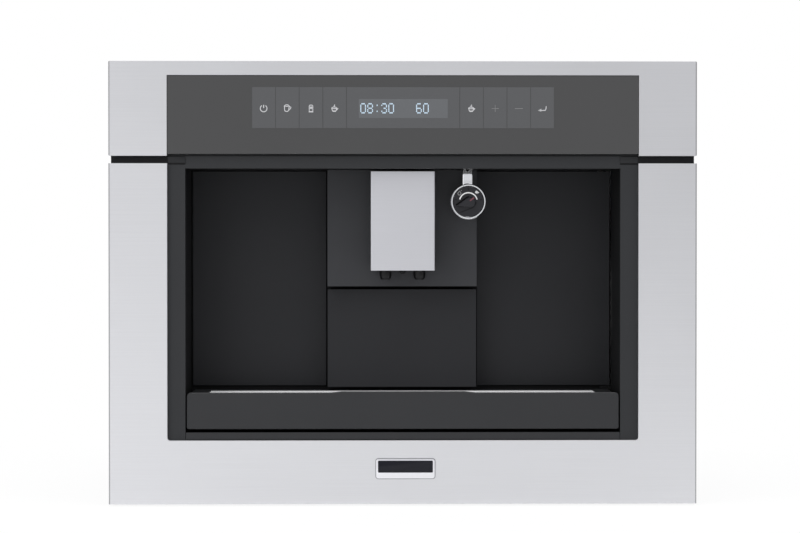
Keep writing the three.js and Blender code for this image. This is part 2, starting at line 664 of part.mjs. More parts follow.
function lidWithHinge(x, y, width, depth, r, tab) {
  const rear = y + depth / 2;
  const pinY = rear + LID_BARREL_R + 1;
  const pinZ = lidZ[0] + LID_BARREL_R;
  const barrelX = centred(x, width - 2 * LUG_SET - 2 * FIT);
  const lid = join(
    floorPlate(rectangle(centred(x, width), centred(y, depth), r), lidZ, 2),
    floorPlate(rectangle(centred(x, tab), [y - depth / 2 - tab / 5, y], tab / 6), lidZ, 1),
    block(barrelX, [rear - 1, pinY], lidZ),
    across(LID_BARREL_R, barrelX, pinY, pinZ, 8),
    across(LID_PIN_R, inset(barrelX, -LUG_W + 1), pinY, pinZ, 8),
  );
  const lugs = [-1, 1].map((side) => {
    const inner = x + side * (width / 2 - LUG_SET);
    const span = [inner, inner + side * LUG_W].sort((a, b) => a - b);
    return block(span, centred(pinY, 2 * LID_BARREL_R), [bodyTop - 0.5, pinZ + LID_BARREL_R]);
  });
  const bore = across(LID_PIN_R + FIT, inset(barrelX, -LUG_W - 1), pinY, pinZ, 8);
  return { lid, lugs, bore };
}
const HOPPER_TAB = 34; // finger tabs on the lids' front edges
const POWDER_TAB = 18;
const powderLidW = CHUTE_W + 2 * CHUTE_LID_LAP;
const powderLidD = CHUTE_D + 2 * CHUTE_LID_LAP;
const hopperHinge = lidWithHinge(GRINDER_X, grinderY, HOPPER_W, HOPPER_W, 8, HOPPER_TAB);
const powderHinge = lidWithHinge(chuteX, chuteY, powderLidW, powderLidD, 4, POWDER_TAB);
addPiece("hopper_lid", hopperHinge.lid, clearSmoke);
addPiece("powder_lid", powderHinge.lid, satinBlack);

// The grind dial has a fluted edge and a raised bar. Its stem goes down to the grinder's setting ring.
function flutedCircle(x, y, r, depth, flutes) {
  const points = range(4 * flutes).map((k) => {
    const angle = (Math.PI * k) / (2 * flutes);
    const reach = k % 4 === 0 ? r - depth : r;
    return [x + reach * Math.cos(angle), y + reach * Math.sin(angle)];
  });
  return polygon(points);
}
const GRIND_FLUTES = 10;
const grindBar = rectangle(centred(grindX, 4), centred(grindY, 2 * GRIND_R - 4), 1.5);
addPiece(
  "grind_dial",
  join(
    floorPlate(flutedCircle(grindX, grindY, GRIND_R, 1, GRIND_FLUTES), lidZ),
    post(GRIND_STEM_R, [bodyTop - 16, lidZ[0] + 1], grindX, grindY, 12),
    floorPlate(grindBar, [lidZ[1] - 1, lidZ[1] + LID_T], 1),
  ),
  satinBlack,
);

// The cover is a shallow tray upside down over the sides, with openings for the hopper, the chute
// and the dial.
const hopperMouth = HOPPER_W - 2 * HOPPER_LID_LAP;
const lidHole = rectangle(centred(GRINDER_X, hopperMouth), centred(grinderY, hopperMouth), 8);
const chuteHole = rectangle(centred(chuteX, CHUTE_W), centred(chuteY, CHUTE_D), 3);
const COVER_FLANGE = 12;
const coverHalf = bodyHalf + FIT + CASE_SHEET;
const coverRear = rearY + FIT + CASE_SHEET;
const coverHoles = [lidHole, chuteHole, circle(grindX, grindY, GRIND_STEM_R + 1)].map((hole) =>
  floorPlate(hole, [bodyTop - 3, bodyTop + 1], 4),
);
const coverZ = [bodyTop - COVER_FLANGE, bodyTop];
const coverSheet = join(
  frontPlate(channel(bodyTop, coverZ[0], coverHalf), [casingFront, coverRear]),
  block([-coverHalf, coverHalf], [coverRear - CASE_SHEET, coverRear], coverZ),
);
const lidHinges = [hopperHinge, powderHinge];
const lidLugs = lidHinges.flatMap((hinge) => hinge.lugs);
const lidBores = lidHinges.map((hinge) => hinge.bore);
addPiece("top_cover", cut(join(cut(coverSheet, ...coverHoles), ...lidLugs), ...lidBores), galvanised);

// ---------------------------------------------------------------- niche moulding
// One box open to the front. Its back wall has an opening for the tank, the drawer and the brew unit.
const MULLION = 6;
const DRAWER_CLEAR = 1.7; // drawer bay's edges inside those of the drawer front
const drawerBay = columnHalf - DRAWER_CLEAR;
const bayEdge = drawerBay + MULLION;
const linerHalf = nicheHalf + WALL;
const linerFront = BEZEL_Y + BEZEL_T + FIT;
const LUG_HALF = 4; // lugs round the door's pins
const HINGE_ROOM = 8; // the lip stops this far from the pins, so that the door's edge can turn
const lugY = centred(doorPinY, 2 * LUG_HALF);
const bayBottom = deckTop;
const bayTop = nicheTop - LIP;
const hingeClear = doorPinX - HINGE_ROOM;
const pinLug = (z) => block([doorPinX - LUG_HALF - 1, nicheHalf + 1], lugY, z);
const pinHole = (z) => post(DOOR_PIN_R + FIT, z, doorPinX, doorPinY, 12);
const tubeHole = post(TAP_TUBE_R + RUN, [nicheTop - 1, nicheTop + WALL + 1], TAP_X, TAP_TUBE_Y, 16);
const throughFrame = [frameY - 1, frameBack + 1];
const nicheBox = cut(
  block([-linerHalf, linerHalf], [linerFront, frameBack], [sillTop - WALL, nicheTop + WALL]),
  block([-nicheHalf, nicheHalf], [0, frameY], [sillTop, nicheTop]),
  block([LIP - nicheHalf, -bayEdge], throughFrame, [bayBottom, bayTop]),
  block([bayEdge, hingeClear + 1], throughFrame, [bayBottom, bayTop]),
  block([hingeClear, nicheHalf], throughFrame, [bayBottom, nicheTop]),
  block([-drawerBay, drawerBay], throughFrame, [bayBottom, drawerTop + 1]),
  tubeHole,
);
const pinLugZ = [
  [bayBottom - LUG_HALF, bayBottom],
  [nicheTop, nicheTop + LUG_HALF],
];
const linerWithLugs = join(nicheBox, ...pinLugZ.map(pinLug));
const pinHoles = pinLugZ.map((z) => pinHole(inset(z, -1)));
addPiece("niche_liner", cut(linerWithLugs, ...pinHoles), satinBlack);

// The cover over the spout's slide stands proud of the back panels. It is open at the back and on top.
const coverTop = nicheTop - FIT;
const columnBack = COLUMN_Y + WALL; // inner face of its front wall
const SLOT_HALF = 8;
const TONGUE_DROP = 14; // spout's tongue under the niche ceiling
const TONGUE_H = 34;
const tongueTop = nicheTop - TONGUE_DROP;
const tongueBottom = tongueTop - TONGUE_H;
const columnX = [-columnHalf, columnHalf];
const columnZ = [columnBottom, coverTop];
const slotZ = [tongueBottom - SPOUT_TRAVEL - 2, tongueTop + 2];
const columnShell = cut(
  block(columnX, [COLUMN_Y, frameY - FIT], columnZ),
  block(inset(columnX, WALL), [columnBack, frameY], inset(columnZ, WALL)),
  block([-SLOT_HALF, SLOT_HALF], [COLUMN_Y - 1, columnBack + 1], slotZ),
);
addPiece("spout_column", columnShell, satinBlack);

// ---------------------------------------------------------------- deck behind the niche
// A sheet shelf between the sides. The tank, the drawer and the brew unit stand over it, and three hoses
// come up through it.
const DECK_REAR_ROOM = 50; // free behind the deck
const DECK_FLANGE = 16;
const HOSE_HOLE_R = 7;
const deckFront = lugY[1] + FIT;
const tankX = [LIP + 1 - nicheHalf, -bayEdge - 1];
const tankMiddle = (tankX[0] + tankX[1]) / 2;
const dockHoseY = tankBack + 18;
const steamHoseX = bodyHalf - 34;
const steamHoleY = grinderY + 10;
const brewHoleY = brewBack + 14;
const hoseHoles = [
  [tankMiddle, dockHoseY],
  [steamHoseX, steamHoleY],
  [brewX, brewHoleY],
].map(([x, y]) => post(HOSE_HOLE_R, [deckTop - 5, deckTop + 5], x, y, 12));
const deckY = [deckFront, BODY_D - DECK_REAR_ROOM];
const deck = frontPlate(channel(deckTop, deckTop - DECK_FLANGE), deckY);
addPiece("service_deck", cut(deck, ...hoseHoles), galvanised);

// ---------------------------------------------------------------- water tank
// A clear tank behind its own front panel. It slides forward off a nipple at its back.
const panelInner = columnHalf + SEAM;
const panelOuter = nicheHalf - SEAM;
const panelZ = [panelsBottom, panelsTop];
addPiece(
  "tank_front",
  frontPlate(rectangle([-panelOuter, -panelInner], panelZ), [NICHE_D, NICHE_D + PANEL_T], 2, 0.5),
  satinBlack,
);
const tankY = [NICHE_D + PANEL_T + FIT, tankBack];
const tankZ = [deckTop + RUN, nicheTop - TANK_CLEAR];
const FILL_EDGE = 18; // fill opening from the tank's sides
const FILL_FRONT = 8;
const FILL_D = 56;
const NIPPLE_R = 4;
const FLAP_PIN_R = 1.2;
const FLAP_T = 2.4;
const FLAP_LUG_W = 5;
const fillX = inset(tankX, FILL_EDGE);
const fillY = [tankY[0] + FILL_FRONT, tankY[0] + FILL_FRONT + FILL_D];
const valveZ = tankZ[0] + 16;
const flapPinY = fillY[1] + 8;
const flapPinZ = tankZ[1] + 3;
const tankShell = cut(
  floorPlate(rectangle(tankX, tankY, 6), tankZ, 2),
  floorPlate(rectangle(inset(tankX, TANK_WALL), inset(tankY, TANK_WALL), 4), inset(tankZ, TANK_WALL), 2),
  block(fillX, fillY, [tankZ[1] - TANK_WALL - 1, tankZ[1] + 1]),
);
const tankValve = bar(2 * NIPPLE_R, [tankBack - 12, tankBack - 0.5], tankMiddle, valveZ, 12);
const valveBore = bar(NIPPLE_R + 2 * FIT, [tankBack - 7, tankBack + 1], tankMiddle, valveZ, 12);
const flapLugs = [-1, 1].map((side) => {
  const inner = side < 0 ? fillX[0] + 1 : fillX[1] - 1;
  const x = [inner, inner + side * (FLAP_LUG_W + 1)].sort((a, b) => a - b);
  return block(x, centred(flapPinY, 8), [tankZ[1] - 1, flapPinZ + 3]);
});
const flapBore = across(FLAP_PIN_R + FIT, inset(fillX, -FLAP_LUG_W - 1), flapPinY, flapPinZ);
addPiece("water_tank", cut(join(tankShell, tankValve, ...flapLugs), flapBore, valveBore), clearSmoke);

// The fill flap turns on two short pins between the tank's lugs.
const flapX = inset(fillX, 1 + RUN);
const flapPlate = block(flapX, [fillY[0] - 3, flapPinY], [tankZ[1] + FIT, tankZ[1] + FIT + FLAP_T]);
const flapBarrel = across(2.6, flapX, flapPinY, flapPinZ);
const flapPins = across(FLAP_PIN_R, inset(fillX, 1 - FLAP_LUG_W), flapPinY, flapPinZ);
addPiece("tank_flap", join(flapPlate, flapBarrel, flapPins), satinBlack);

// The dock stands on the deck. Its nipple reaches into the tank's valve, and its hose goes down to the pump.
const DOCK_W = 34;
const PUMP_X = -150;
const PUMP_L = 80;
const dockY = [tankBack + RUN + 1, tankBack + 26];
const pumpX = centred(PUMP_X, PUMP_L);
const pumpY = BODY_D - 90;
const pumpZ = baseTop + 34;
const dockHose = hose(
  [
    [tankMiddle, dockHoseY, deckTop + 4],
    [tankMiddle, dockHoseY, deckTop - 20],
    [pumpX[0] - 20, pumpY - 30, pumpZ + 20],
    [pumpX[0] - 20, pumpY, pumpZ],
    [pumpX[0] - FIT, pumpY, pumpZ],
  ],
  4,
);
const dock = join(
  block(centred(tankMiddle, DOCK_W), dockY, [deckTop + FIT, valveZ + 12]),
  bar(NIPPLE_R, [tankBack - 5, dockY[0] + 1], tankMiddle, valveZ, 12),
  dockHose,
);
addPiece("tank_dock", dock, blackPlastic);

// ---------------------------------------------------------------- grounds drawer
// A front with two cheeks that close its sides back to the panels, and an open bin behind it.
const drawerFrontY = COLUMN_Y + DRAWER_BACKSET;
const drawerInner = drawerFrontY + WALL;
const cheekBack = NICHE_D + PANEL_T;
const drawerPlan = polygon([
  [-columnHalf, drawerFrontY],
  [columnHalf, drawerFrontY],
  [columnHalf, cheekBack],
  [columnHalf - WALL, cheekBack],
  [columnHalf - WALL, drawerInner],
  [WALL - columnHalf, drawerInner],
  [WALL - columnHalf, cheekBack],
  [-columnHalf, cheekBack],
]);
addPiece("drawer_front", floorPlate(drawerPlan, [deckTop + RUN, drawerTop]), satinBlack);
const BIN_CLEAR = 1.2; // bin's sides to the cheeks
const BIN_WALL = 2;
const binX = inset(columnX, WALL + BIN_CLEAR);
const binY = [drawerInner + FIT, binBack];
const binZ = [deckTop + RUN, drawerTop - 3];
const binHollow = rectangle(inset(binX, BIN_WALL), inset(binY, BIN_WALL), 6);
addPiece(
  "grounds_bin",
  cut(
    floorPlate(rectangle(binX, binY, 8), binZ, 2),
    floorPlate(binHollow, [binZ[0] + BIN_WALL, binZ[1] + 1], 2),
  ),
  blackPlastic,
);

// ---------------------------------------------------------------- service door
// It covers the brew unit. Two pins moulded on its right edge turn in the niche's lugs.
const doorOutline = rectangle([panelInner, panelOuter], panelZ);
const doorSkin = frontPlate(doorOutline, [NICHE_D, NICHE_D + PANEL_T], 2, 0.5);
const doorHinge = join(
  block(centred(doorPinX, 2 * DOOR_BARREL_R), [NICHE_D + PANEL_T - 1, doorPinY], panelZ),
  post(DOOR_BARREL_R, panelZ, doorPinX, doorPinY, 12),
  post(DOOR_PIN_R, [bayBottom - 3, nicheTop + 3], doorPinX, doorPinY, 12),
);
addPiece("service_door", join(doorSkin, doorHinge), satinBlack);

// ---------------------------------------------------------------- drip tray and cup grille
const TRAY_Y = 4;
const SKID_Y = 60; // the two runners under it start out of sight
const TRAY_REAR_GAP = 6;
const TRAY_WALL = 2.3;
const HUMP_SLOPE = 11; // length of the hump's sloping ends
const LEDGE_W = 4; // ledge that carries the grille
const trayHalf = nicheHalf - TRAY_SIDE_GAP;
const trayBack = frameY - TRAY_REAR_GAP;
const basinHalf = trayHalf - 2.5;
const rimTop = trayTop - GRILLE_DEEP;
const ledgeTop = rimTop - GRILLE_T - FIT;
const grilleX = centred(0, GRILLE_W);
const grilleY = [TRAY_Y + 5, drawerFrontY - SEAM];
const humpHalf = TRAY_HUMP_W / 2;
const humpEnd = humpHalf + HUMP_SLOPE;
const trayFace = new THREE.Shape()
  .moveTo(-trayHalf + 2, trayBottom)
  .lineTo(trayHalf - 2, trayBottom)
  .absarc(trayHalf - 2, trayBottom + 2, 2, -Math.PI / 2, 0)
  .lineTo(trayHalf, trayTop - 4)
  .absarc(trayHalf - 4, trayTop - 4, 4, 0, Math.PI / 2)
  .lineTo(humpEnd, trayTop)
  .lineTo(humpHalf, trayTop + TRAY_HUMP)
  .lineTo(-humpHalf, trayTop + TRAY_HUMP)
  .lineTo(-humpEnd, trayTop)
  .lineTo(4 - trayHalf, trayTop)
  .absarc(4 - trayHalf, trayTop - 4, 4, Math.PI / 2, Math.PI)
  .lineTo(-trayHalf, trayBottom + 2)
  .absarc(2 - trayHalf, trayBottom + 2, 2, Math.PI, 1.5 * Math.PI);
const skidX = centred(145, 30);
const skid = block(skidX, [SKID_Y, trayBack], [sillTop + RUN, trayBottom + 1]);
const basinX = [-basinHalf, basinHalf];
const basinY = [TRAY_Y + 7, trayBack - TRAY_WALL];
const basin = cut(
  block(basinX, [TRAY_Y + 3, trayBack], [trayBottom, rimTop]),
  block(inset(basinX, TRAY_WALL), basinY, inset([trayBottom, ledgeTop], TRAY_WALL)),
  block(inset(grilleX, LEDGE_W), inset(grilleY, LEDGE_W), [ledgeTop - 5, rimTop + 1]),
  block(inset(grilleX, -RUN), inset(grilleY, -RUN), [ledgeTop, rimTop + 1]),
);
addPiece(
  "drip_tray",
  join(frontPlate(trayFace, [TRAY_Y, TRAY_Y + 4], 2, 0.6), basin, skid, mirrored(skid)),
  satinBlack,
);

// Steel grille with rows of long slots, and a plain band at its rear.
const GRILLE_ROWS = 4;
const GRILLE_COLUMNS = 5;
const SLOT_W = 4.5;
const SLOT_BAR = 8; // steel between two slots of a row
const ROW_PITCH = 11;
const SLOT_MARGIN = 14;
const slotPitch = (GRILLE_W - 2 * SLOT_MARGIN) / GRILLE_COLUMNS;
const grilleSlots = range(GRILLE_ROWS * GRILLE_COLUMNS).map((k) => {
  const x = grilleX[0] + SLOT_MARGIN + slotPitch * ((k % GRILLE_COLUMNS) + 0.5);
  const y = grilleY[0] + ROW_PITCH * (1 + Math.floor(k / GRILLE_COLUMNS));
  return rectangle(centred(x, slotPitch - SLOT_BAR), centred(y, SLOT_W));
});
const grilleShape = slotted(rectangle(grilleX, grilleY), grilleSlots);
addPiece("cup_grille", floorPlate(grilleShape, [rimTop - GRILLE_T, rimTop], 1), brushedSteel);

// ---------------------------------------------------------------- spout
// Steel cover, black body and two nozzles. A tongue at the back slides in the column's slot.
const spoutHalf = SPOUT_W / 2;
const spoutTop = nicheTop - 2.6;
const spoutBottom = spoutTop - SPOUT_H;
const SPOUT_SHEET = 1.2;
const SPOUT_R = 1.3; // bend at its edges
const coverPlan = (half, front, back, r) =>
  new THREE.Shape()
    .moveTo(-half, back)
    .lineTo(-half, front + r)
    .absarc(r - half, front + r, r, Math.PI, 1.5 * Math.PI)
    .lineTo(half - r, front)
    .absarc(half - r, front + r, r, -Math.PI / 2, 0)
    .lineTo(half, back);
const SPOUT_WRAP = 14; // how far the steel goes back round the body's sides
const spoutInner = spoutHalf - SPOUT_SHEET;
const steelBack = SPOUT_Y + SPOUT_SHEET;
const spoutOuter = coverPlan(spoutHalf, SPOUT_Y, SPOUT_Y + SPOUT_WRAP, SPOUT_R);
const spoutHollow = coverPlan(spoutInner, steelBack, SPOUT_Y + SPOUT_WRAP + 1, SPOUT_R - SPOUT_SHEET + FIT);
const spoutPlate = cut(
  floorPlate(spoutOuter, [spoutBottom, spoutTop], 2),
  floorPlate(spoutHollow, [spoutBottom - 1, spoutTop + 1], 2),
);
addPiece("spout_cover", spoutPlate, brushedSteel);

const spoutZ = [spoutBottom + 2, spoutTop - 1];
const steamOff = spoutBottom - 4; // tip of the small outlet between the nozzles
const spoutBack = COLUMN_Y - RUN;
const nozzleY = 42;
const tongueZ = [tongueBottom, tongueTop];
const steamTip = [
  [0, steamOff],
  [1.6, steamOff],
  [3.2, steamOff + 2],
  [3.2, spoutZ[0] + 1],
  [0, spoutZ[0] + 1],
];
const spoutBody = join(
  floorPlate(coverPlan(spoutInner - FIT, steelBack + FIT, spoutBack, 1.5), spoutZ, 2),
  block(centred(0, 2 * (SLOT_HALF - RUN)), [spoutBack - 1, columnBack + 1], tongueZ),
  block(centred(0, 2 * (SLOT_HALF + 5)), [columnBack + RUN, columnBack + 6], tongueZ),
  upright(steamTip, 0, nozzleY, 12),
);
const nozzlePockets = [-1, 1].map((side) => {
  const z = [spoutZ[0] - 1, spoutZ[0] + 6];
  return post(NOZZLE_R + 0.7, z, side * NOZZLE_X, nozzleY, 16);
});
addPiece("spout_body", cut(spoutBody, ...nozzlePockets), blackPlastic);
const nozzleBottom = spoutBottom - NOZZLE_DROP;
const nozzleTop = spoutZ[0] + 5.5;
const nozzle = upright(
  [
    [2.6, nozzleBottom + 5],
    [3, nozzleBottom],
    [NOZZLE_R - 2.1, nozzleBottom],
    [NOZZLE_R - 0.7, nozzleBottom + 1.6],
    [NOZZLE_R, nozzleBottom + 4.5],
    [NOZZLE_R, nozzleTop],
    [2.6, nozzleTop],
  ],
  NOZZLE_X,
  nozzleY,
  18,
);
bothSides("spout_nozzle", nozzle, blackPlastic);

// ---------------------------------------------------------------- steam and hot-water tap
// A tube comes down from the niche ceiling to a valve. The dial turns the valve's stem, and a short
// outlet swivels under it.
const STEM_R = 3;
const STEM_Y = DIAL_Y + 4; // front end of the valve's stem
const TUBE_BORE_R = 3.6;
const COLLAR_H = 6;
const OUTLET_H = 7;
const OUTLET_R = 4.6;
const OUTLET_BORE_R = 2;
const tapZ = nicheTop - TAP_DROP;
const dialBack = DIAL_Y + DIAL_T;
const valve = join(
  bar(VALVE_R, [dialBack + FIT, COLUMN_Y - FIT], TAP_X, tapZ, 16),
  bar(STEM_R, [STEM_Y, dialBack + 1], TAP_X, tapZ, 12),
);
addPiece("steam_valve", valve, blackPlastic);
const tubeBottom = tapZ + VALVE_R + FIT;
const collarBottom = nicheTop + WALL + FIT;
const collarTop = nicheTop + WALL + COLLAR_H;
const tubeProfile = [
  [TUBE_BORE_R, tubeBottom],
  [TAP_TUBE_R, tubeBottom],
  [TAP_TUBE_R, collarBottom],
  [TAP_TUBE_R + 3, collarBottom],
  [TAP_TUBE_R + 3, collarTop],
  [TUBE_BORE_R, collarTop],
];
addPiece("steam_tube", upright(tubeProfile, TAP_X, TAP_TUBE_Y, 20), chrome);
const outletTop = tapZ - VALVE_R - FIT;
const outletProfile = [
  [OUTLET_BORE_R, outletTop - OUTLET_H],
  [OUTLET_BORE_R + 1, outletTop - OUTLET_H],
  [OUTLET_R, outletTop - OUTLET_H + 3],
  [OUTLET_R, outletTop],
  [OUTLET_BORE_R, outletTop],
];
addPiece("steam_outlet", upright(outletProfile, TAP_X, TAP_TUBE_Y, 12), chrome);

// The dial: a black face in a chrome ring, with a socket for the valve's stem.
const RING_W = 2.4;
const dialFaceR = DIAL_R - RING_W - FIT;
const ringProfile = [
  [DIAL_R - RING_W, DIAL_Y + 0.6],
  [DIAL_R - 1.8, DIAL_Y],
  [DIAL_R - 0.7, DIAL_Y],
  [DIAL_R, DIAL_Y + 0.8],
  [DIAL_R, dialBack],
  [DIAL_R - RING_W, dialBack],
];
addPiece("dial_ring", lying(ringProfile, TAP_X, tapZ, 36), chrome);

// Its grip is a raised rib that widens from the lower left edge to a round end near the middle.
const GRIP_R = 5.4;
const GRIP_X = 1.8;
const GRIP_Z = -0.8;
const GRIP_UPPER = THREE.MathUtils.degToRad(36); // slopes of its two long edges
const GRIP_LOWER = THREE.MathUtils.degToRad(23);
const GRIP_L = 13.5;
const GRIP_RISE = 5;
const gripFace = DIAL_Y + 0.9;
function gripShape() {
  const middle = [TAP_X + GRIP_X, tapZ + GRIP_Z];
  const from = GRIP_LOWER - Math.PI / 2;
  const to = GRIP_UPPER + Math.PI / 2;
  const edge = (side, slope) => [
    middle[0] + GRIP_R * Math.cos(side) - GRIP_L * Math.cos(slope),
    middle[1] + GRIP_R * Math.sin(side) - GRIP_L * Math.sin(slope),
  ];
  return new THREE.Shape()
    .moveTo(...edge(from, GRIP_LOWER))
    .absarc(middle[0], middle[1], GRIP_R, from, to)
    .lineTo(...edge(to, GRIP_UPPER));
}
const dialDisc = join(
  bar(dialFaceR, [gripFace, dialBack], TAP_X, tapZ, 36),
  frontPlate(gripShape(), [gripFace - GRIP_RISE, gripFace + 1.5], 6, 0.8),
);
const stemSocket = bar(STEM_R + FIT, [STEM_Y - FIT - 0.1, dialBack + 1], TAP_X, tapZ, 12);
addPiece("tap_dial", cut(dialDisc, stemSocket), blackPlastic);

// ---------------------------------------------------------------- brew unit
// A chamber rides up two guide columns on a spindle nut, and presses the coffee against a fixed piston.
// The spindle's gear and the motor's pinion have involute teeth worked out from the module.
const PRESSURE = THREE.MathUtils.degToRad(20);
const ADDENDUM = 0.7;
const DEDENDUM = 0.95;
const BACKLASH = 0.16;
const involute = (angle) => Math.tan(angle) - angle;
function gearShape(teeth, x, y, turn) {
  const pitchR = (GEAR_MODULE * teeth) / 2;
  const baseR = pitchR * Math.cos(PRESSURE);
  const rootR = pitchR - DEDENDUM * GEAR_MODULE;
  const tipR = pitchR + ADDENDUM * GEAR_MODULE;
  const halfAtPitch = Math.PI / (2 * teeth) - BACKLASH / (2 * pitchR);
  const angleAt = (r) => Math.acos(Math.min(1, baseR / r)); // pressure angle at that radius
  const halfAt = (r) => halfAtPitch + involute(PRESSURE) - involute(angleAt(r));
  const radii = [Math.max(baseR, rootR), pitchR, tipR];
  const points = [];
  const flank = radii.map((r) => [r, halfAt(r)]);
  const fromRoot = [[rootR, halfAt(radii[0])], ...flank];
  for (let k = 0; k < teeth; k++) {
    const middle = turn + (2 * Math.PI * k) / teeth;
    const rising = fromRoot.map(([r, half]) => [r, middle - half]);
    const falling = fromRoot.map(([r, half]) => [r, middle + half]).reverse();
    for (const [r, angle] of [...rising, ...falling]) {
      const last = points[points.length - 1];
      const point = [x + r * Math.cos(angle), y + r * Math.sin(angle)];
      if (!last || Math.hypot(point[0] - last[0], point[1] - last[1]) > 1e-6) points.push(point);
    }
  }
  return polygon(points);
}

const BREW_BASE_T = 5.7;
const BREW_WALL = 6;
const BRIDGE_T = 8;
const BRIDGE_DROP = 33.4; // bridge's top under the niche ceiling
const GUIDE_X = 38; // guide columns each side of the chamber
const GUIDE_R = 5;
const CHAMBER_LOW = 26; // chamber over the base
const PISTON_IN = 12; // piston's depth in the raised chamber
const brewSideX = centred(brewX, BREW_W);
const brewBase = [deckTop + FIT, deckTop + FIT + BREW_BASE_T];
const bridge = [nicheTop - BRIDGE_DROP - BRIDGE_T, nicheTop - BRIDGE_DROP];
const chamberZ = brewBase[1] + CHAMBER_LOW;
const chamberTop = chamberZ + CHAMBER_H;
const pistonBottom = chamberTop + BREW_TRAVEL - PISTON_IN;
const guideXs = [brewX - GUIDE_X, brewX + GUIDE_X];
const guides = guideXs.map((x) => post(GUIDE_R, [brewBase[1] - 1, bridge[0] + 1], x, chamberY, 16));

// A sloping sheet leads the used grounds from the chamber over the drawer.
const SLIDE_RISE = 28;
const SLIDE_T = 2.5;
const slideX = [columnHalf - 15, guideXs[0] + 9];
const slideZ = [drawerTop + 1, drawerTop + 1 + SLIDE_RISE];
const groundsSlide = frontPlate(
  polygon([
    [slideX[0], slideZ[0]],
    [slideX[1], slideZ[1]],
    [slideX[1], slideZ[1] + SLIDE_T],
    [slideX[0], slideZ[0] + SLIDE_T],
  ]),
  centred(chamberY, 36),
);
const brewFrame = join(
  block(brewSideX, [NICHE_D + 15, brewBack], brewBase),
  block(brewSideX, [brewBack - BREW_WALL, brewBack], [brewBase[0], bridge[1]]),
  block(brewSideX, [chamberY - CHAMBER_R - 2, brewBack], bridge),
  ...guides,
  groundsSlide,
  post(CHAMBER_BORE_R - RUN, [pistonBottom, bridge[0] + 1], brewX, chamberY, 32),
);

// Gussets brace the bridge, and two windows lighten the wall.
const GUSSET_T = 3;
const GUSSET_H = 34;
const brewInner = brewBack - BREW_WALL;
const gussetShape = polygon([
  [brewInner + 1, bridge[0] - GUSSET_H],
  [brewInner + 1, bridge[0] + 1],
  [chamberY - 20, bridge[0] + 1],
]);
const gussetX = [
  [brewSideX[0], brewSideX[0] + GUSSET_T],
  [brewSideX[1] - GUSSET_T, brewSideX[1]],
];
const brewGussets = gussetX.map((x) => sidePlate(gussetShape, x));
const brewWindows = [-1, 1].map((side) => {
  const windowZ = [brewBase[1] + 20, bridge[0] - 24];
  const outline = rectangle(centred(brewX + side * 27, 30), windowZ, 5);
  return frontPlate(outline, inset([brewInner, brewBack], -1), 2);
});
const spindleBore = post(SPINDLE_R + FIT, inset([brewBase[0], bridge[1]], -1), brewX, spindleY, 16);
addPiece("brew_frame", cut(join(brewFrame, ...brewGussets), spindleBore, ...brewWindows), blackPlastic);

const gearZ = [bridge[1] + 1, bridge[1] + 1 + GEAR_T];
const motorX = brewX - (GEAR_MODULE * (SPINDLE_TEETH + PINION_TEETH)) / 2;
const spindleGear = floorPlate(gearShape(SPINDLE_TEETH, brewX, spindleY, 0), gearZ);
addPiece(
  "brew_spindle",
  join(
    post(SPINDLE_R, [brewBase[0] + 1, gearZ[1] + 3], brewX, spindleY, 16),
    post(8, [gearZ[0] - 0.6, gearZ[1] + 1.5], brewX, spindleY, 16),
    spindleGear,
  ),
  whiteNylon,
);
const pinionTurn = Math.PI / PINION_TEETH; // a gap between two teeth faces the gear's tooth
const pinion = floorPlate(gearShape(PINION_TEETH, motorX, spindleY, pinionTurn), inset(gearZ, 1));
const PINION_SHAFT_R = 2;
const pinionShaft = post(PINION_SHAFT_R, [gearZ[0] + 1, gearZ[1] + 8], motorX, spindleY, 12);
addPiece("motor_pinion", join(pinion, pinionShaft), brass);

// The motor stands over the pinion on a plate with two legs on the bridge.
const MOTOR_R = 15;
const MOTOR_H = 44;
const motorZ = gearZ[1] + 4;
const motorPlate = rectangle(centred(motorX, 34), centred(spindleY, 36), 5);
const motorLegs = [-1, 1].map((side) =>
  post(3.4, [bridge[1] + FIT, motorZ + 1], motorX - 12, spindleY + side * 13, 10),
);
const brewMotor = join(
  floorPlate(motorPlate, [motorZ, motorZ + 3], 2),
  post(MOTOR_R, [motorZ + 2, motorZ + 2 + MOTOR_H], motorX, spindleY, 20),
  ...motorLegs,
);
const shaftBore = post(PINION_SHAFT_R + 2 * FIT, [motorZ - 1, motorZ + 8], motorX, spindleY, 12);
addPiece("brew_motor", cut(brewMotor, shaftBore), galvanised);

// The chamber with its carriage.
const armZ = [chamberZ + 14, chamberZ + 24];
const bushZ = [chamberZ + 6, chamberZ + 34];
const carriage = join(
  post(CHAMBER_R, [chamberZ, chamberTop], brewX, chamberY, 32),
  block(guideXs, centred(chamberY, 10), armZ),
  block(centred(brewX, 12), [chamberY, spindleY], armZ),
  post(2 * SPINDLE_R, bushZ, brewX, spindleY, 16),
  ...guideXs.map((x) => post(GUIDE_R + 3.5, bushZ, x, chamberY, 16)),
);
const through = inset([chamberZ, chamberTop], -1);
addPiece(
  "brew_chamber",
  cut(
    carriage,
    post(CHAMBER_BORE_R, [chamberZ + 6, through[1]], brewX, chamberY, 32),
    post(SPINDLE_R + FIT, through, brewX, spindleY, 16),
    ...guideXs.map((x) => post(GUIDE_R + FIT, through, x, chamberY, 16)),
  ),
  whiteNylon,
);

// Chute for ground coffee, from its lid in the top cover down to the chamber's front edge.
const chuteLow = chamberTop + BREW_TRAVEL + 6;
const DUCT_WALL = 2;
const ductX = centred(chuteX, CHUTE_W + 2 * DUCT_WALL);
const ductY = centred(chuteY, CHUTE_D + 2 * DUCT_WALL);
const chuteDuct = cut(
  block(ductX, ductY, [chuteLow, underCover]),
  block(inset(ductX, DUCT_WALL), inset(ductY, DUCT_WALL), [chuteLow - 1, underCover + 1]),
);
addPiece("powder_chute", chuteDuct, blackPlastic);

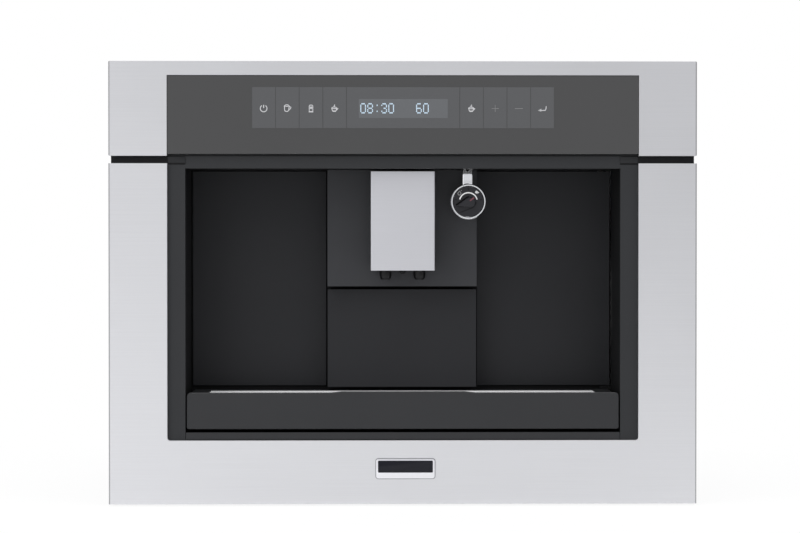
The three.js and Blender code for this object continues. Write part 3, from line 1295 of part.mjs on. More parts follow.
// ---------------------------------------------------------------- grinder
// The hopper's square mouth narrows to a round-cornered neck over the grinder.
const HOPPER_H = 96;
const HOPPER_WALL = 3;
const MOUTH_H = 30; // straight part under its rim
const NECK_HALF = 32;
const NECK_H = 12;
const hopperTop = underCover;
const hopperLow = hopperTop - HOPPER_H;
const grinderTop = hopperLow - FIT;
const mouthHalf = HOPPER_W / 2;
const hopperRing = (half, z, r) => roundedRing(GRINDER_X, grinderY, z, half, r);
const hopperOuter = loft([
  hopperRing(NECK_HALF, hopperLow, 20),
  hopperRing(NECK_HALF + 2, hopperLow + NECK_H, 20),
  hopperRing(mouthHalf, hopperTop - MOUTH_H, 14),
  hopperRing(mouthHalf, hopperTop, 14),
]);
const hopperInner = loft([
  hopperRing(NECK_HALF - 2 * HOPPER_WALL, hopperLow - 1, 18),
  hopperRing(NECK_HALF + 2 - HOPPER_WALL, hopperLow + NECK_H + 1, 18),
  hopperRing(mouthHalf - HOPPER_WALL, hopperTop - MOUTH_H + 1, 12),
  hopperRing(mouthHalf - HOPPER_WALL, hopperTop + 1, 12),
]);
addPiece("bean_hopper", cut(hopperOuter, hopperInner), clearSmoke);

const GRINDER_H = 84;
const burrZ = [grinderTop - 40, grinderTop - 6];
const grinderLow = grinderTop - GRINDER_H;
const grinderProfile = [
  [8, grinderLow],
  [44, grinderLow],
  [46, grinderLow + 10],
  [46, grinderTop - 10],
  [40, grinderTop],
  [25, grinderTop],
  [30, grinderTop - 36],
  [34, grinderTop - 44],
  [34, grinderTop - 60],
  [8, grinderTop - 60],
];
addPiece("grinder_body", upright(grinderProfile, GRINDER_X, grinderY, 22), blackPlastic);
// The inner burr is a cone with twisted cutting flutes on a plain hub.
const FLUTES = 9;
const BURR_R = 28;
function burrRing(z, r, flute, turn) {
  return range(3 * FLUTES).map((k) => {
    const angle = turn + (2 * Math.PI * k) / (3 * FLUTES);
    const reach = k % 3 === 0 ? r - flute : r;
    return [GRINDER_X + reach * Math.cos(angle), grinderY + reach * Math.sin(angle), z];
  });
}
addPiece(
  "grinder_burr",
  loft([
    burrRing(grinderTop - 56, BURR_R, 0, 0),
    burrRing(burrZ[0] - 6, BURR_R, 0, 0),
    burrRing(burrZ[0], BURR_R, 2, 0.1),
    burrRing(burrZ[1] - 10, BURR_R - 10, 3, 0.5),
    burrRing(burrZ[1], BURR_R / 4, 1.5, 0.8),
  ]),
  brushedSteel,
);

// The motor stands on a flange on the deck. Its shaft carries the burr.
const GRINDER_MOTOR_R = 29;
const SHAFT_R = 6;
const motorTop = grinderLow - FIT;
const grinderMotorProfile = [
  [0, deckTop + FIT],
  [38, deckTop + FIT],
  [38, deckTop + 5],
  [14, deckTop + 9],
  [14, deckTop + 30],
  [GRINDER_MOTOR_R, deckTop + 34],
  [GRINDER_MOTOR_R, motorTop - 6],
  [SHAFT_R, motorTop],
  [SHAFT_R, grinderTop - 57],
  [0, grinderTop - 57],
];
addPiece("grinder_motor", upright(grinderMotorProfile, GRINDER_X, grinderY, 18), galvanised);

// ---------------------------------------------------------------- heating and pumping, under the deck
// The boiler is two deep-drawn halves with a flange between them, on two feet.
const BOILER_R = 36;
const BOILER_END_R = 22;
const BOILER_L = 120;
const BOILER_X = 130;
const BOILER_DOME = 12;
const boilerZ = baseTop + 54;
const boilerY = grinderY;
const boilerX = centred(BOILER_X, BOILER_L);
const boilerHalf = [
  [0, boilerX[0]],
  [BOILER_END_R, boilerX[0]],
  [BOILER_R, boilerX[0] + BOILER_DOME],
  [BOILER_R, BOILER_X - 3],
  [BOILER_R + 3, BOILER_X - 2],
];
const otherHalf = boilerHalf.map(([r, x]) => [r, 2 * BOILER_X - x]).reverse();
const boilerFeet = [-1, 1].map((side) =>
  block(centred(BOILER_X + side * 34, 12), centred(boilerY, 50), [baseTop + FIT, boilerZ - 20]),
);
const boilerShell = lengthwise([...boilerHalf, ...otherHalf], boilerY, boilerZ, 20);
addPiece("boiler", join(boilerShell, ...boilerFeet), brushedSteel);

// The pump is a barrel through a square iron frame, on a foot.
const PUMP_R = 19;
const PUMP_FRAME_H = 48;
const pump = join(
  across(PUMP_R, pumpX, pumpY, pumpZ, 20),
  block(inset(pumpX, 20), centred(pumpY, 44), centred(pumpZ, PUMP_FRAME_H)),
  block(inset(pumpX, 26), centred(pumpY, 20), [baseTop + FIT, pumpZ]),
);
addPiece("water_pump", pump, brass);

// The power board stands on four posts. It carries a transformer, a heat sink, two capacitors and a relay.
const POWER_X = -20;
const POWER_Y = 310;
const POWER_SIZE = 120;
const CAPACITOR_R = 9;
const boardZ = baseTop + 8;
const onBoard = (h) => [boardZ + CIRCUIT_T - 0.1, boardZ + h];
const powerParts = [
  block(centred(POWER_X, POWER_SIZE), centred(POWER_Y, POWER_SIZE), [boardZ, boardZ + CIRCUIT_T]),
  block(centred(POWER_X - 25, 50), centred(POWER_Y - 27, 42), onBoard(34)),
  block(centred(POWER_X + 27, 30), centred(POWER_Y - 32, 24), onBoard(22)),
  block(centred(POWER_X - 35, 30), centred(POWER_Y + 25, 30), onBoard(16)),
  ...[6, 32].map((dx) => post(CAPACITOR_R, onBoard(30), POWER_X + dx, POWER_Y + 20, 12)),
];
const postSpread = POWER_SIZE / 2 - 6;
const boardPosts = [-1, 1].flatMap((sideX) =>
  [-1, 1].map((sideY) => {
    const x = POWER_X + sideX * postSpread;
    const y = POWER_Y + sideY * postSpread;
    return post(3, [baseTop + FIT, boardZ + 0.5], x, y, 8);
  }),
);
addPiece("power_board", join(...powerParts, ...boardPosts), boardGreen);

// ---------------------------------------------------------------- hoses
// From the pump to the boiler, from the boiler to the brew unit, and from the boiler to the steam tap.
const HOSE_R = 3;
const pumpHoseRoute = [
  [pumpX[1] + 1, pumpY, pumpZ],
  [pumpX[1] + 20, pumpY + 2, pumpZ + 6],
  [pumpX[1] + 26, pumpY + 30, pumpZ + 26],
  [POWER_X - 20, BODY_D - 28, pumpZ + 34],
  [POWER_X + 50, BODY_D - 28, pumpZ + 34],
  [boilerX[0] - 10, boilerY + 40, boilerZ + 6],
  [boilerX[0] - 8, boilerY + 2, boilerZ],
  [boilerX[0] - 1, boilerY, boilerZ],
];
addPiece("pump_hose", hose(pumpHoseRoute, HOSE_R), silicone);

const brewHoseRoute = [
  [brewX, boilerY - 20, boilerZ + 32],
  [brewX, brewHoleY, deckTop - 12],
  [brewX, brewHoleY, deckTop + 12],
  [brewX, brewHoleY, bridge[1] - 20],
  [brewX + 4, brewHoleY - 8, bridge[1] + 16],
  [brewX + 14, spindleY + 2, bridge[1] + 24],
  [brewX + 12, chamberY + 17, bridge[1] + 22],
  [brewX, chamberY, bridge[1] + 12],
  [brewX, chamberY, bridge[1] + FIT],
];
addPiece("brew_hose", hose(brewHoseRoute, HOSE_R), silicone);

const topHoseZ = nicheTop + 30;
const steamHoseRoute = [
  [boilerX[1] + 1, boilerY, boilerZ],
  [boilerX[1] + 12, boilerY + 1, boilerZ + 2],
  [steamHoseX, steamHoleY, deckTop - 10],
  [steamHoseX, steamHoleY, deckTop + 60],
  [steamHoseX, steamHoleY - 10, topHoseZ - 50],
  [steamHoseX - 10, steamHoleY - 50, topHoseZ - 8],
  [brewX + 30, NICHE_D + 58, topHoseZ],
  [brewX - 38, NICHE_D + 42, topHoseZ],
  [TAP_X + 12, 80, topHoseZ],
  [TAP_X, TAP_TUBE_Y, topHoseZ - 6],
  [TAP_X, TAP_TUBE_Y, collarTop + FIT],
];
addPiece("steam_hose", hose(steamHoseRoute, HOSE_R), silicone);

machine.position.y = -BODY_D / 2;
export default machine;
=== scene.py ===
from math import cos, pi, radians, sin
import bpy
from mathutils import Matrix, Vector


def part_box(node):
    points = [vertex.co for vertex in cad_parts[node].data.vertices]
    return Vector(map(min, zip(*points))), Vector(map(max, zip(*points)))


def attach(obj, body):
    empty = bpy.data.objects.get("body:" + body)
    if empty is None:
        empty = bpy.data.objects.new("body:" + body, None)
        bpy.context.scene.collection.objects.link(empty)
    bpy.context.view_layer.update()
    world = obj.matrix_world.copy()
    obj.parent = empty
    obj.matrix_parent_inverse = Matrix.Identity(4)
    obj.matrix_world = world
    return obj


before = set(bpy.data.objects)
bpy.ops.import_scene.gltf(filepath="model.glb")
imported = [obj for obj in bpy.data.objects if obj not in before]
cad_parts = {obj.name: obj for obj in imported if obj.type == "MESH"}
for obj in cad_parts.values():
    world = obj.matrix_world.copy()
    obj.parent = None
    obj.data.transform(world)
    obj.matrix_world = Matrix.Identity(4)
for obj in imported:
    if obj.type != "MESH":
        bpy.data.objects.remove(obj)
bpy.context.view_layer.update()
bpy.context.scene.view_settings.view_transform = "Standard"


# ---- Mounting frame and casing -----------------------------------------------------------------
# A folded tray stands in the cabinet, and the machine's casing is cut and folded from the same
# zinc-coated sheet. The coating keeps a faint grain of crystals and scuffs where it was handled.
def add_node(tree, kind, sockets=None, **settings):
    """One shader node. A socket is given a value, or another node's output to link to it."""
    made = tree.nodes.new("ShaderNode" + kind)
    for setting, value in settings.items():
        setattr(made, setting, value)
    for socket, value in (sockets or {}).items():
        if isinstance(value, bpy.types.NodeSocket):
            tree.links.new(value, made.inputs[socket])
        else:
            made.inputs[socket].default_value = value
    return made


def surface_group(name, extra):
    """An empty group that takes a colour, a roughness and extra numbers, with its two end nodes."""
    group = bpy.data.node_groups.new(name, "ShaderNodeTree")
    face = group.interface
    face.new_socket("Colour", in_out="INPUT", socket_type="NodeSocketColor")
    for socket in ("Roughness", *extra):
        face.new_socket(socket, in_out="INPUT", socket_type="NodeSocketFloat")
    face.new_socket("Colour", in_out="OUTPUT", socket_type="NodeSocketColor")
    for socket in ("Roughness", "Height"):
        face.new_socket(socket, in_out="OUTPUT", socket_type="NodeSocketFloat")
    return group, group.nodes.new("NodeGroupInput").outputs, group.nodes.new("NodeGroupOutput").inputs


def shade(tree, colour, amount):
    """A colour made darker or lighter by an amount round 1."""
    both = {"Factor": 1, "A": colour, "B": amount}
    return add_node(tree, "Mix", both, data_type="RGBA", blend_type="MULTIPLY").outputs["Result"]


def zinc_sheet():
    """Crystals of the zinc coat, each a little lighter or darker, under a film of handling."""
    group, given, made = surface_group("zinc_sheet", ["Crystals"])
    place = add_node(group, "TexCoord").outputs["Object"]
    crystal = add_node(group, "TexVoronoi", {"Vector": place, "Scale": given["Crystals"]})
    tone = add_node(group, "SeparateColor", {"Color": crystal.outputs["Color"]}).outputs["Red"]
    spread = add_node(group, "MapRange", {"Value": tone, "To Min": 0.9, "To Max": 1.04})
    film = add_node(group, "TexNoise", {"Vector": place, "Scale": 14, "Detail": 5})
    dull = add_node(group, "MapRange", {"Value": film.outputs["Fac"], "To Min": -0.1, "To Max": 0.14})
    rough = add_node(group, "Math", {0: given["Roughness"], 1: dull.outputs["Result"]})
    link = group.links.new
    link(shade(group, given["Colour"], spread.outputs["Result"]), made["Colour"])
    link(rough.outputs["Value"], made["Roughness"])
    link(film.outputs["Fac"], made["Height"])
    return group


def finish_with(name, group, values, sockets=None, bump=0.0):
    """A material whose variation comes from a group. What is constant sits on the shader itself."""
    material = bpy.data.materials.new(name)
    material.use_nodes = True
    tree = material.node_tree
    shader = tree.nodes["Principled BSDF"]
    for socket, value in (sockets or {}).items():
        shader.inputs[socket].default_value = value
    surface = add_node(tree, "Group", values, node_tree=group).outputs
    tree.links.new(surface["Colour"], shader.inputs["Base Color"])
    tree.links.new(surface["Roughness"], shader.inputs["Roughness"])
    if bump:
        relief = add_node(tree, "Bump", {"Strength": 1, "Distance": bump, "Height": surface["Height"]})
        tree.links.new(relief.outputs["Normal"], shader.inputs["Normal"])
    return material


def coat(material, *names):
    """Gives CAD nodes their finish."""
    for name in names:
        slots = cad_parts[name].data.materials
        slots.clear()
        slots.append(material)


ZINC = zinc_sheet()
ZINC_LOOK = {"Colour": (0.56, 0.58, 0.59, 1), "Roughness": 0.42, "Crystals": 150}
zinc = finish_with("zinc", ZINC, ZINC_LOOK, {"Metallic": 1.0}, bump=0.00004)
coat(zinc, "cabinet_frame", "base_pan", "side_panel_left", "side_panel_right", "rear_panel")
coat(zinc, "top_cover", "service_deck")


# ---- Screws ------------------------------------------------------------------------------------
# The casing and the runners are held by small zinc-plated pan-head screws with a cross recess.
# Each head is pressed from wire: a flat disc with a rounded upper edge and a cross sunk in it.
HEAD_R = 0.0036
HEAD_H = 0.0019
RECESS = 0.0011
CROSS_L = 0.0042
CROSS_W = 0.0009
ABOVE = 0.001  # a cutter stands this far past what it cuts
SCREW_INSET = 0.007  # from the edges of a side panel
SIDE_SCREW_Z = (0.09, 0.2, 0.31, 0.41)
COVER_SCREW_Z = 0.438
COVER_SCREW_Y = (-0.15, -0.03, 0.09, 0.18)
COVER_SCREW_X = (-0.2, 0, 0.2)
RUNNER_SCREW_Y = (-0.15, -0.05, 0.06, 0.165)
REAR_SCREW_X = (-0.252, 0.252)
REAR_SCREW_Z = (0.05, 0.17, 0.29, 0.41)
SMOOTH_ANGLE = 35  # degrees; a fold flatter than this is shaded round


def only(piece):
    """Makes a piece the one that is selected and active."""
    bpy.ops.object.select_all(action="DESELECT")
    piece.select_set(True)
    bpy.context.view_layer.objects.active = piece


def slab(low, high):
    """A cube stretched between two corners, to be worked further."""
    low, high = Vector(low), Vector(high)
    bpy.ops.object.select_all(action="DESELECT")
    bpy.ops.mesh.primitive_cube_add(size=1, location=(low + high) / 2)
    piece = bpy.context.object
    piece.scale = high - low
    bpy.ops.object.transform_apply(location=True, rotation=False, scale=True)
    return piece


def rod(radius, low, high, x, y, sides):
    """An upright cylinder, to be worked further."""
    bpy.ops.object.select_all(action="DESELECT")
    bpy.ops.mesh.primitive_cylinder_add(
        vertices=sides, radius=radius, depth=high - low, location=(x, y, (low + high) / 2)
    )
    bpy.ops.object.transform_apply(location=True, rotation=False, scale=False)
    return bpy.context.object


def modify(piece, kind, **settings):
    """Adds one modifier and applies it."""
    only(piece)
    modifier = piece.modifiers.new(kind.lower(), kind)
    for setting, value in settings.items():
        setattr(modifier, setting, value)
    bpy.ops.object.modifier_apply(modifier=modifier.name)


def round_edges(piece, width, segments=2, angle=30):
    modify(piece, "BEVEL", width=width, segments=segments, limit_method="ANGLE", angle_limit=radians(angle))


def fuse(pieces):
    """Joins pieces into the first one."""
    only(pieces[0])
    for piece in pieces:
        piece.select_set(True)
    if len(pieces) > 1:
        bpy.ops.object.join()
    return bpy.context.object


def copy_to(piece, place, turn=(0, 0, 0)):
    """A copy with its own mesh, turned and then moved."""
    other = piece.copy()
    other.data = piece.data.copy()
    bpy.context.scene.collection.objects.link(other)
    other.rotation_euler = turn
    other.location = place
    only(other)
    bpy.ops.object.transform_apply(location=True, rotation=True, scale=True)
    return other


def discard(piece):
    bpy.data.objects.remove(piece, do_unlink=True)


def cut_out(piece, cutter):
    """Takes a cutter's shape out of a piece."""
    modify(piece, "BOOLEAN", operation="DIFFERENCE", object=cutter, solver="EXACT")
    discard(cutter)


def fit_out(piece, name, body, material):
    """Names a finished piece, gives it its material and lets it ride on its body."""
    only(piece)
    bpy.ops.object.transform_apply(location=True, rotation=True, scale=True)
    bpy.ops.object.shade_smooth_by_angle(angle=radians(SMOOTH_ANGLE))
    piece.name = name
    piece.data.name = name
    piece.data.materials.clear()
    piece.data.materials.append(material)
    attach(piece, body)


def screw_head():
    head = rod(HEAD_R, 0, HEAD_H, 0, 0, sides=20)
    round_edges(head, 0.0008)
    for x, y in ((CROSS_L / 2, CROSS_W / 2), (CROSS_W / 2, CROSS_L / 2)):
        cut_out(head, slab((-x, -y, HEAD_H - RECESS), (x, y, HEAD_H + ABOVE)))
    return head


SCREW = screw_head()
FACING = {"right": (0, pi / 2, 0), "left": (0, -pi / 2, 0), "rear": (-pi / 2, 0, 0)}


def screws(name, body, side, places):
    """A set of like screws on one face, as one piece."""
    heads = [copy_to(SCREW, place, FACING[side]) for place in places]
    fit_out(fuse(heads), name, body, zinc)


SHEET = 0.0012  # casing and runner sheet
sheet_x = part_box("rear_panel")[1][0]
rear_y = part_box("rear_panel")[1][1] - SHEET
cover_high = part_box("top_cover")[1]
side_low, side_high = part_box("side_panel_right")
edge_y = (side_low[1] + SCREW_INSET, side_high[1] - SCREW_INSET)
frame_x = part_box("cabinet_frame")[1][0]
rail_low, rail_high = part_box("outer_rail_right")
runner_z = (rail_low[2] + rail_high[2]) / 2
for side, sign in (("left", -1), ("right", 1)):
    side_places = [(sign * sheet_x, y, z) for y in edge_y for z in SIDE_SCREW_Z]
    cover_places = [(sign * cover_high[0], y, COVER_SCREW_Z) for y in COVER_SCREW_Y]
    runner_places = [(sign * frame_x, y, runner_z) for y in RUNNER_SCREW_Y]
    screws(f"side_screws_{side}", "machine", side, side_places)
    screws(f"cover_screws_{side}", "machine", side, cover_places)
    screws(f"runner_screws_{side}", "mounting_frame", side, runner_places)
screws("cover_screws_rear", "machine", "rear", [(x, cover_high[1], COVER_SCREW_Z) for x in COVER_SCREW_X])
screws("panel_screws_rear", "machine", "rear", [(x, rear_y, z) for x in REAR_SCREW_X for z in REAR_SCREW_Z])
discard(SCREW)


# ---- Telescopic runners ------------------------------------------------------------------------
# Each runner has three rolled steel members. Between two members run steel balls, spaced by a thin
# pressed cage. The cages travel with the middle member.
BALL_R = 0.0022
BALL_PITCH = 0.016
BALLS = 9
CAGE_T = 0.0006
CAGE_W = 0.0042
OUTER_ROW_Y = 0.02  # front ends of the two cages
INNER_ROW_Y = -0.155
BEARING_LOOK = {"Colour": (0.74, 0.74, 0.75, 1), "Roughness": 0.2, "Crystals": 900}
steel_bright = finish_with("bearing_steel", ZINC, BEARING_LOOK, {"Metallic": 1.0})
coat(zinc, "outer_rail_left", "outer_rail_right", "middle_rail_left", "middle_rail_right")
coat(zinc, "inner_rail_left", "inner_rail_right")


def ball_row():
    """A cage strip with its balls, lying along Y from the origin."""
    strip = slab((-CAGE_W / 2, 0, -CAGE_T / 2), (CAGE_W / 2, BALL_PITCH * BALLS, CAGE_T / 2))
    round_edges(strip, 0.0002, segments=1)
    bpy.ops.object.select_all(action="DESELECT")
    bpy.ops.mesh.primitive_uv_sphere_add(segments=14, ring_count=9, radius=BALL_R)
    ball = bpy.context.object
    balls = [copy_to(ball, (0, BALL_PITCH * (k + 0.5), 0)) for k in range(BALLS)]
    discard(ball)
    return fuse([strip, *balls])


ROW = ball_row()
for side in ("left", "right"):
    outer_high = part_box(f"outer_rail_{side}")[1]
    middle_low, middle_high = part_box(f"middle_rail_{side}")
    inner_low, inner_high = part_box(f"inner_rail_{side}")
    outer_gap = (outer_high[2] - SHEET - middle_high[2]) / 2
    inner_gap = (middle_high[2] - SHEET - inner_high[2]) / 2
    outer_x = (middle_low[0] + middle_high[0]) / 2
    inner_x = (inner_low[0] + inner_high[0]) / 2
    rows = []
    for up in (-1, 1):
        middle_edge = middle_high[2] if up > 0 else middle_low[2]
        inner_edge = inner_high[2] if up > 0 else inner_low[2]
        rows.append(copy_to(ROW, (outer_x, OUTER_ROW_Y, middle_edge + up * outer_gap)))
        rows.append(copy_to(ROW, (inner_x, INNER_ROW_Y, inner_edge + up * inner_gap)))
    fit_out(fuse(rows), f"ball_cages_{side}", "middle_rails", steel_bright)
discard(ROW)


# ---- Mains inlet and switch --------------------------------------------------------------------
# An appliance inlet and a rocker switch share one black nylon module that snaps into the rear panel.
# Three brass pins stand in the inlet, and the red rocker carries the two usual marks.
def mould_grain():
    """The fine eroded grain of a mould, with a faint film of dust."""
    group, given, made = surface_group("mould_grain", ["Grain", "Dust"])
    place = add_node(group, "TexCoord").outputs["Object"]
    grain = add_node(group, "TexNoise", {"Vector": place, "Scale": given["Grain"], "Detail": 2})
    film = add_node(group, "TexNoise", {"Vector": place, "Scale": 11, "Detail": 4})
    lying = add_node(group, "Math", {0: film.outputs["Fac"], 1: given["Dust"]}, operation="MULTIPLY")
    dust = {"Factor": lying.outputs["Value"], "A": given["Colour"], "B": (0.30, 0.29, 0.28, 1)}
    dusty = add_node(group, "Mix", dust, data_type="RGBA")
    rough = add_node(group, "Math", {0: given["Roughness"], 1: lying.outputs["Value"]})
    link = group.links.new
    link(dusty.outputs["Result"], made["Colour"])
    link(rough.outputs["Value"], made["Roughness"])
    link(grain.outputs["Fac"], made["Height"])
    return group


MOULD = mould_grain()


def moulding(name, colour, roughness, grain=2600, dust=0.02, bump=0.00003, **sockets):
    """A moulded plastic. A keyword such as Specular_IOR_Level names a socket of the shader."""
    constants = {socket.replace("_", " "): value for socket, value in sockets.items()}
    values = {"Colour": (*colour, 1), "Roughness": roughness, "Grain": grain, "Dust": dust}
    return finish_with(name, MOULD, values, constants, bump=bump)


module_black = moulding("module_black", (0.018, 0.018, 0.019), 0.5)
rocker_red = moulding("rocker_red", (0.42, 0.02, 0.025), 0.32, grain=900)
print_white = moulding("print_white", (0.78, 0.78, 0.78), 0.5, grain=4000, bump=0.0)
print_grey = moulding("print_grey", (0.36, 0.36, 0.36), 0.5, grain=4000, bump=0.0)
brass = finish_with(
    "brass", ZINC, {"Colour": (0.62, 0.46, 0.22, 1), "Roughness": 0.3, "Crystals": 700}, {"Metallic": 1.0}
)
coat(module_black, "mains_inlet")
coat(rocker_red, "mains_switch")

PIN_W = 0.0024
PIN_H = 0.0046
PIN_PITCH = 0.007
PIN_SHIFT = 0.003  # the earth pin stands this far above the middle, the others as far below it
PIN_Y = (0.1773, 0.1945)
SOCKET_SHIFT = 0.012  # from the middle of the module to the middle of its socket
inlet_low, inlet_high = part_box("mains_inlet")
socket_x = (inlet_low[0] + inlet_high[0]) / 2 - SOCKET_SHIFT
socket_z = (inlet_low[2] + inlet_high[2]) / 2
pins = []
for step in (-1, 0, 1):
    x = socket_x + step * PIN_PITCH
    z = socket_z + (PIN_SHIFT if step == 0 else -PIN_SHIFT)
    pin = slab((x - PIN_W / 2, PIN_Y[0], z - PIN_H / 2), (x + PIN_W / 2, PIN_Y[1], z + PIN_H / 2))
    round_edges(pin, 0.0005)
    pins.append(pin)
fit_out(fuse(pins), "inlet_pins", "machine", brass)


def arc(radius, start, end, steps):
    """Points on an arc round the middle, with its angles in degrees."""
    angles = [radians(start + (end - start) * k / steps) for k in range(steps + 1)]
    return [(radius * cos(a), radius * sin(a)) for a in angles]


def drawn_line(points, width, height):
    """A line through (x, z) points: one vertex is pulled along them and then given its width."""
    bpy.ops.object.select_all(action="DESELECT")
    bpy.ops.mesh.primitive_plane_add(size=width, location=(points[0][0], 0, points[0][1]))
    bpy.ops.object.mode_set(mode="EDIT")
    bpy.ops.mesh.select_mode(type="VERT")
    bpy.ops.mesh.select_all(action="SELECT")
    bpy.ops.mesh.merge(type="CENTER")
    for here, there in zip(points, points[1:]):
        step = (there[0] - here[0], 0, there[1] - here[1])
        bpy.ops.mesh.extrude_vertices_move(TRANSFORM_OT_translate={"value": step})
    bpy.ops.mesh.select_all(action="SELECT")
    bpy.ops.mesh.remove_doubles(threshold=0.00002)
    bpy.ops.object.mode_set(mode="OBJECT")
    bpy.ops.object.convert(target="CURVE")
    piece = bpy.context.object
    piece.data.bevel_depth = width / 2
    piece.data.bevel_resolution = 1
    piece.data.use_fill_caps = True
    bpy.ops.object.convert(target="MESH")
    piece = bpy.context.object
    bpy.ops.object.transform_apply(location=True, rotation=True, scale=True)
    piece.scale.y = height / width
    bpy.ops.object.transform_apply(scale=True)
    return piece


def drawn(lines, width, height, place, turn=(0, 0, 0)):
    """Several drawn lines as one print, lying on the plane through a place."""
    print_piece = fuse([drawn_line(points, width, height) for points in lines])
    print_piece.rotation_euler = turn
    print_piece.location = place
    only(print_piece)
    bpy.ops.object.transform_apply(location=True, rotation=True, scale=True)
    return print_piece


# The rocker's two faces slope by different angles. A bar marks the upper one and a ring the lower one.
INK = 0.0003
BAR_H = 0.0044
RING_R = 0.0019
UPPER_FACE = (0.1984, 0.0501, radians(17.7))  # y and z of its middle, and its slope
LOWER_FACE = (0.1961, 0.0419, radians(13.8))
switch_low, switch_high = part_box("mains_switch")
switch_x = (switch_low[0] + switch_high[0]) / 2


def rocker_mark(lines, width, face):
    y, z, slope = face
    return drawn(lines, width, INK, (switch_x, y, z), (-slope, 0, 0))


mark_on = rocker_mark([[(0, -BAR_H / 2), (0, BAR_H / 2)]], 0.0009, UPPER_FACE)
mark_off = rocker_mark([arc(RING_R, 0, 360, 16)], 0.0008, LOWER_FACE)
fit_out(fuse([mark_on, mark_off]), "rocker_marks", "switch_body", print_white)


# ---- Boiler, pump, boards and hoses ------------------------------------------------------------
# Under the deck are a stainless boiler of two drawn halves, a vibrating pump in an iron frame and the
# power board. Silicone hoses join them, held by spring clips.
# A thin line of painted shade at each end of the steel front stands for the fold turning from the light.
FOLD_W = 0.0009  # of the darker line at each end of the steel front
FOLD_DEPTH = 0.0008  # it stays this near to the front face
FOLD_BLUR = 0.0005
fold_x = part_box("lower_fascia")[1][0] - FOLD_W
fold_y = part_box("lower_fascia")[0][1] + FOLD_DEPTH


def brushed_grain():
    """Fine lines along X over a slow change of polish, and painted shade on the folds at the front's two
    ends.
    """
    group, given, made = surface_group("brushed_grain", ["Depth", "Fold_Shade"])
    place = add_node(group, "TexCoord").outputs["Object"]
    stretched = add_node(group, "Mapping", {"Vector": place, "Scale": (9, 700, 1500)})
    lines = add_node(group, "TexNoise", {"Vector": stretched.outputs["Vector"], "Scale": 1, "Detail": 3})
    spread = add_node(group, "MapRange", {"Value": lines.outputs["Fac"], "To Min": 0.95, "To Max": 1.04})
    # Painted shade: a narrow band at each end of the front, only on the face in front of the fold's depth.
    spot = add_node(group, "SeparateXYZ", {"Vector": place}).outputs
    outward = add_node(group, "Math", {0: spot["X"]}, operation="ABSOLUTE").outputs["Value"]
    fold = {"Value": outward, "From Min": fold_x - FOLD_BLUR, "From Max": fold_x, "To Max": given["Fold_Shade"]}
    folded = add_node(group, "MapRange", fold).outputs["Result"]
    in_front = add_node(group, "Math", {0: spot["Y"], 1: fold_y}, operation="LESS_THAN").outputs["Value"]
    darker = add_node(group, "Math", {0: folded, 1: in_front}, operation="MULTIPLY").outputs["Value"]
    tone = add_node(group, "Math", {0: spread.outputs["Result"], 1: darker}, operation="SUBTRACT")
    polish = add_node(group, "TexNoise", {"Vector": place, "Scale": 7, "Detail": 2})
    change = add_node(group, "MapRange", {"Value": polish.outputs["Fac"], "To Min": -0.05, "To Max": 0.06})
    rough = add_node(group, "Math", {0: given["Roughness"], 1: change.outputs["Result"]})
    height = add_node(group, "Math", {0: lines.outputs["Fac"], 1: given["Depth"]}, operation="MULTIPLY")
    link = group.links.new
    link(shade(group, given["Colour"], tone.outputs["Value"]), made["Colour"])
    link(rough.outputs["Value"], made["Roughness"])
    link(height.outputs["Value"], made["Height"])
    return group


GRAIN = brushed_grain()


def circuit_board():
    """Green lacquer with copper tracks; whatever stands higher than the board is a dark part."""
    group, given, made = surface_group("circuit_board", ["Over", "Board"])
    place = add_node(group, "TexCoord").outputs["Object"]
    rows = {"Vector": place, "Scale": 95, "Mortar Size": 0.035, "Brick Width": 0.7, "Row Height": 0.22}
    track = add_node(group, "TexBrick", rows).outputs["Fac"]
    copper = {"Factor": track, "A": given["Colour"], "B": (0.07, 0.24, 0.09, 1)}
    laid = add_node(group, "Mix", copper, data_type="RGBA").outputs["Result"]
    part_tone = add_node(group, "TexNoise", {"Vector": place, "Scale": 30, "Detail": 2})
    part = add_node(group, "MapRange", {"Value": part_tone.outputs["Fac"], "To Min": 0.008, "To Max": 0.05})
    raised = add_node(group, "Math", {0: given["Over"], 1: given["Board"]}, operation="GREATER_THAN")
    parts = {"Factor": raised.outputs["Value"], "A": laid, "B": part.outputs["Result"]}
    both = add_node(group, "Mix", parts, data_type="RGBA")
    duller = add_node(group, "Math", {0: track, 1: 0.1, 2: given["Roughness"]}, operation="MULTIPLY_ADD")
    link = group.links.new
    link(both.outputs["Result"], made["Colour"])
    link(duller.outputs["Value"], made["Roughness"])
    link(track, made["Height"])
    return group


BOARD = circuit_board()


def board_finish(name, axis, edge):
    """A board whose parts stand up along one axis from a given height."""
    values = {"Colour": (0.012, 0.085, 0.035, 1), "Roughness": 0.38, "Board": edge}
    material = finish_with(name, BOARD, values, bump=0.00002)
    tree = material.node_tree
    place = add_node(tree, "TexCoord").outputs["Object"]
    along = add_node(tree, "SeparateXYZ", {"Vector": place}).outputs[axis]
    surface = next(node for node in tree.nodes if node.type == "GROUP")
    tree.links.new(along, surface.inputs["Over"])
    return material


boiler_steel = finish_with(
    "boiler_steel",
    GRAIN,
    {"Colour": (0.6, 0.6, 0.61, 1), "Roughness": 0.28, "Depth": 0.4},
    {"Metallic": 1.0},
    bump=0.00002,
)
milky = {"Subsurface_Weight": 0.2, "Subsurface_Scale": 0.002}
silicone = moulding("silicone", (0.52, 0.50, 0.46), 0.55, grain=500, **milky)
coat(boiler_steel, "boiler", "grinder_burr")
coat(zinc, "water_pump")
coat(silicone, "pump_hose", "brew_hose", "steam_hose")
POWER_PARTS = 0.0099  # feet and board lie below the parts that stand on them
CONTROL_PARTS = 0.0125
coat(board_finish("power_board", "Z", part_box("power_board")[0][2] + POWER_PARTS), "power_board")
coat(board_finish("control_board", "Y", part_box("control_board")[0][1] + CONTROL_PARTS), "control_board")

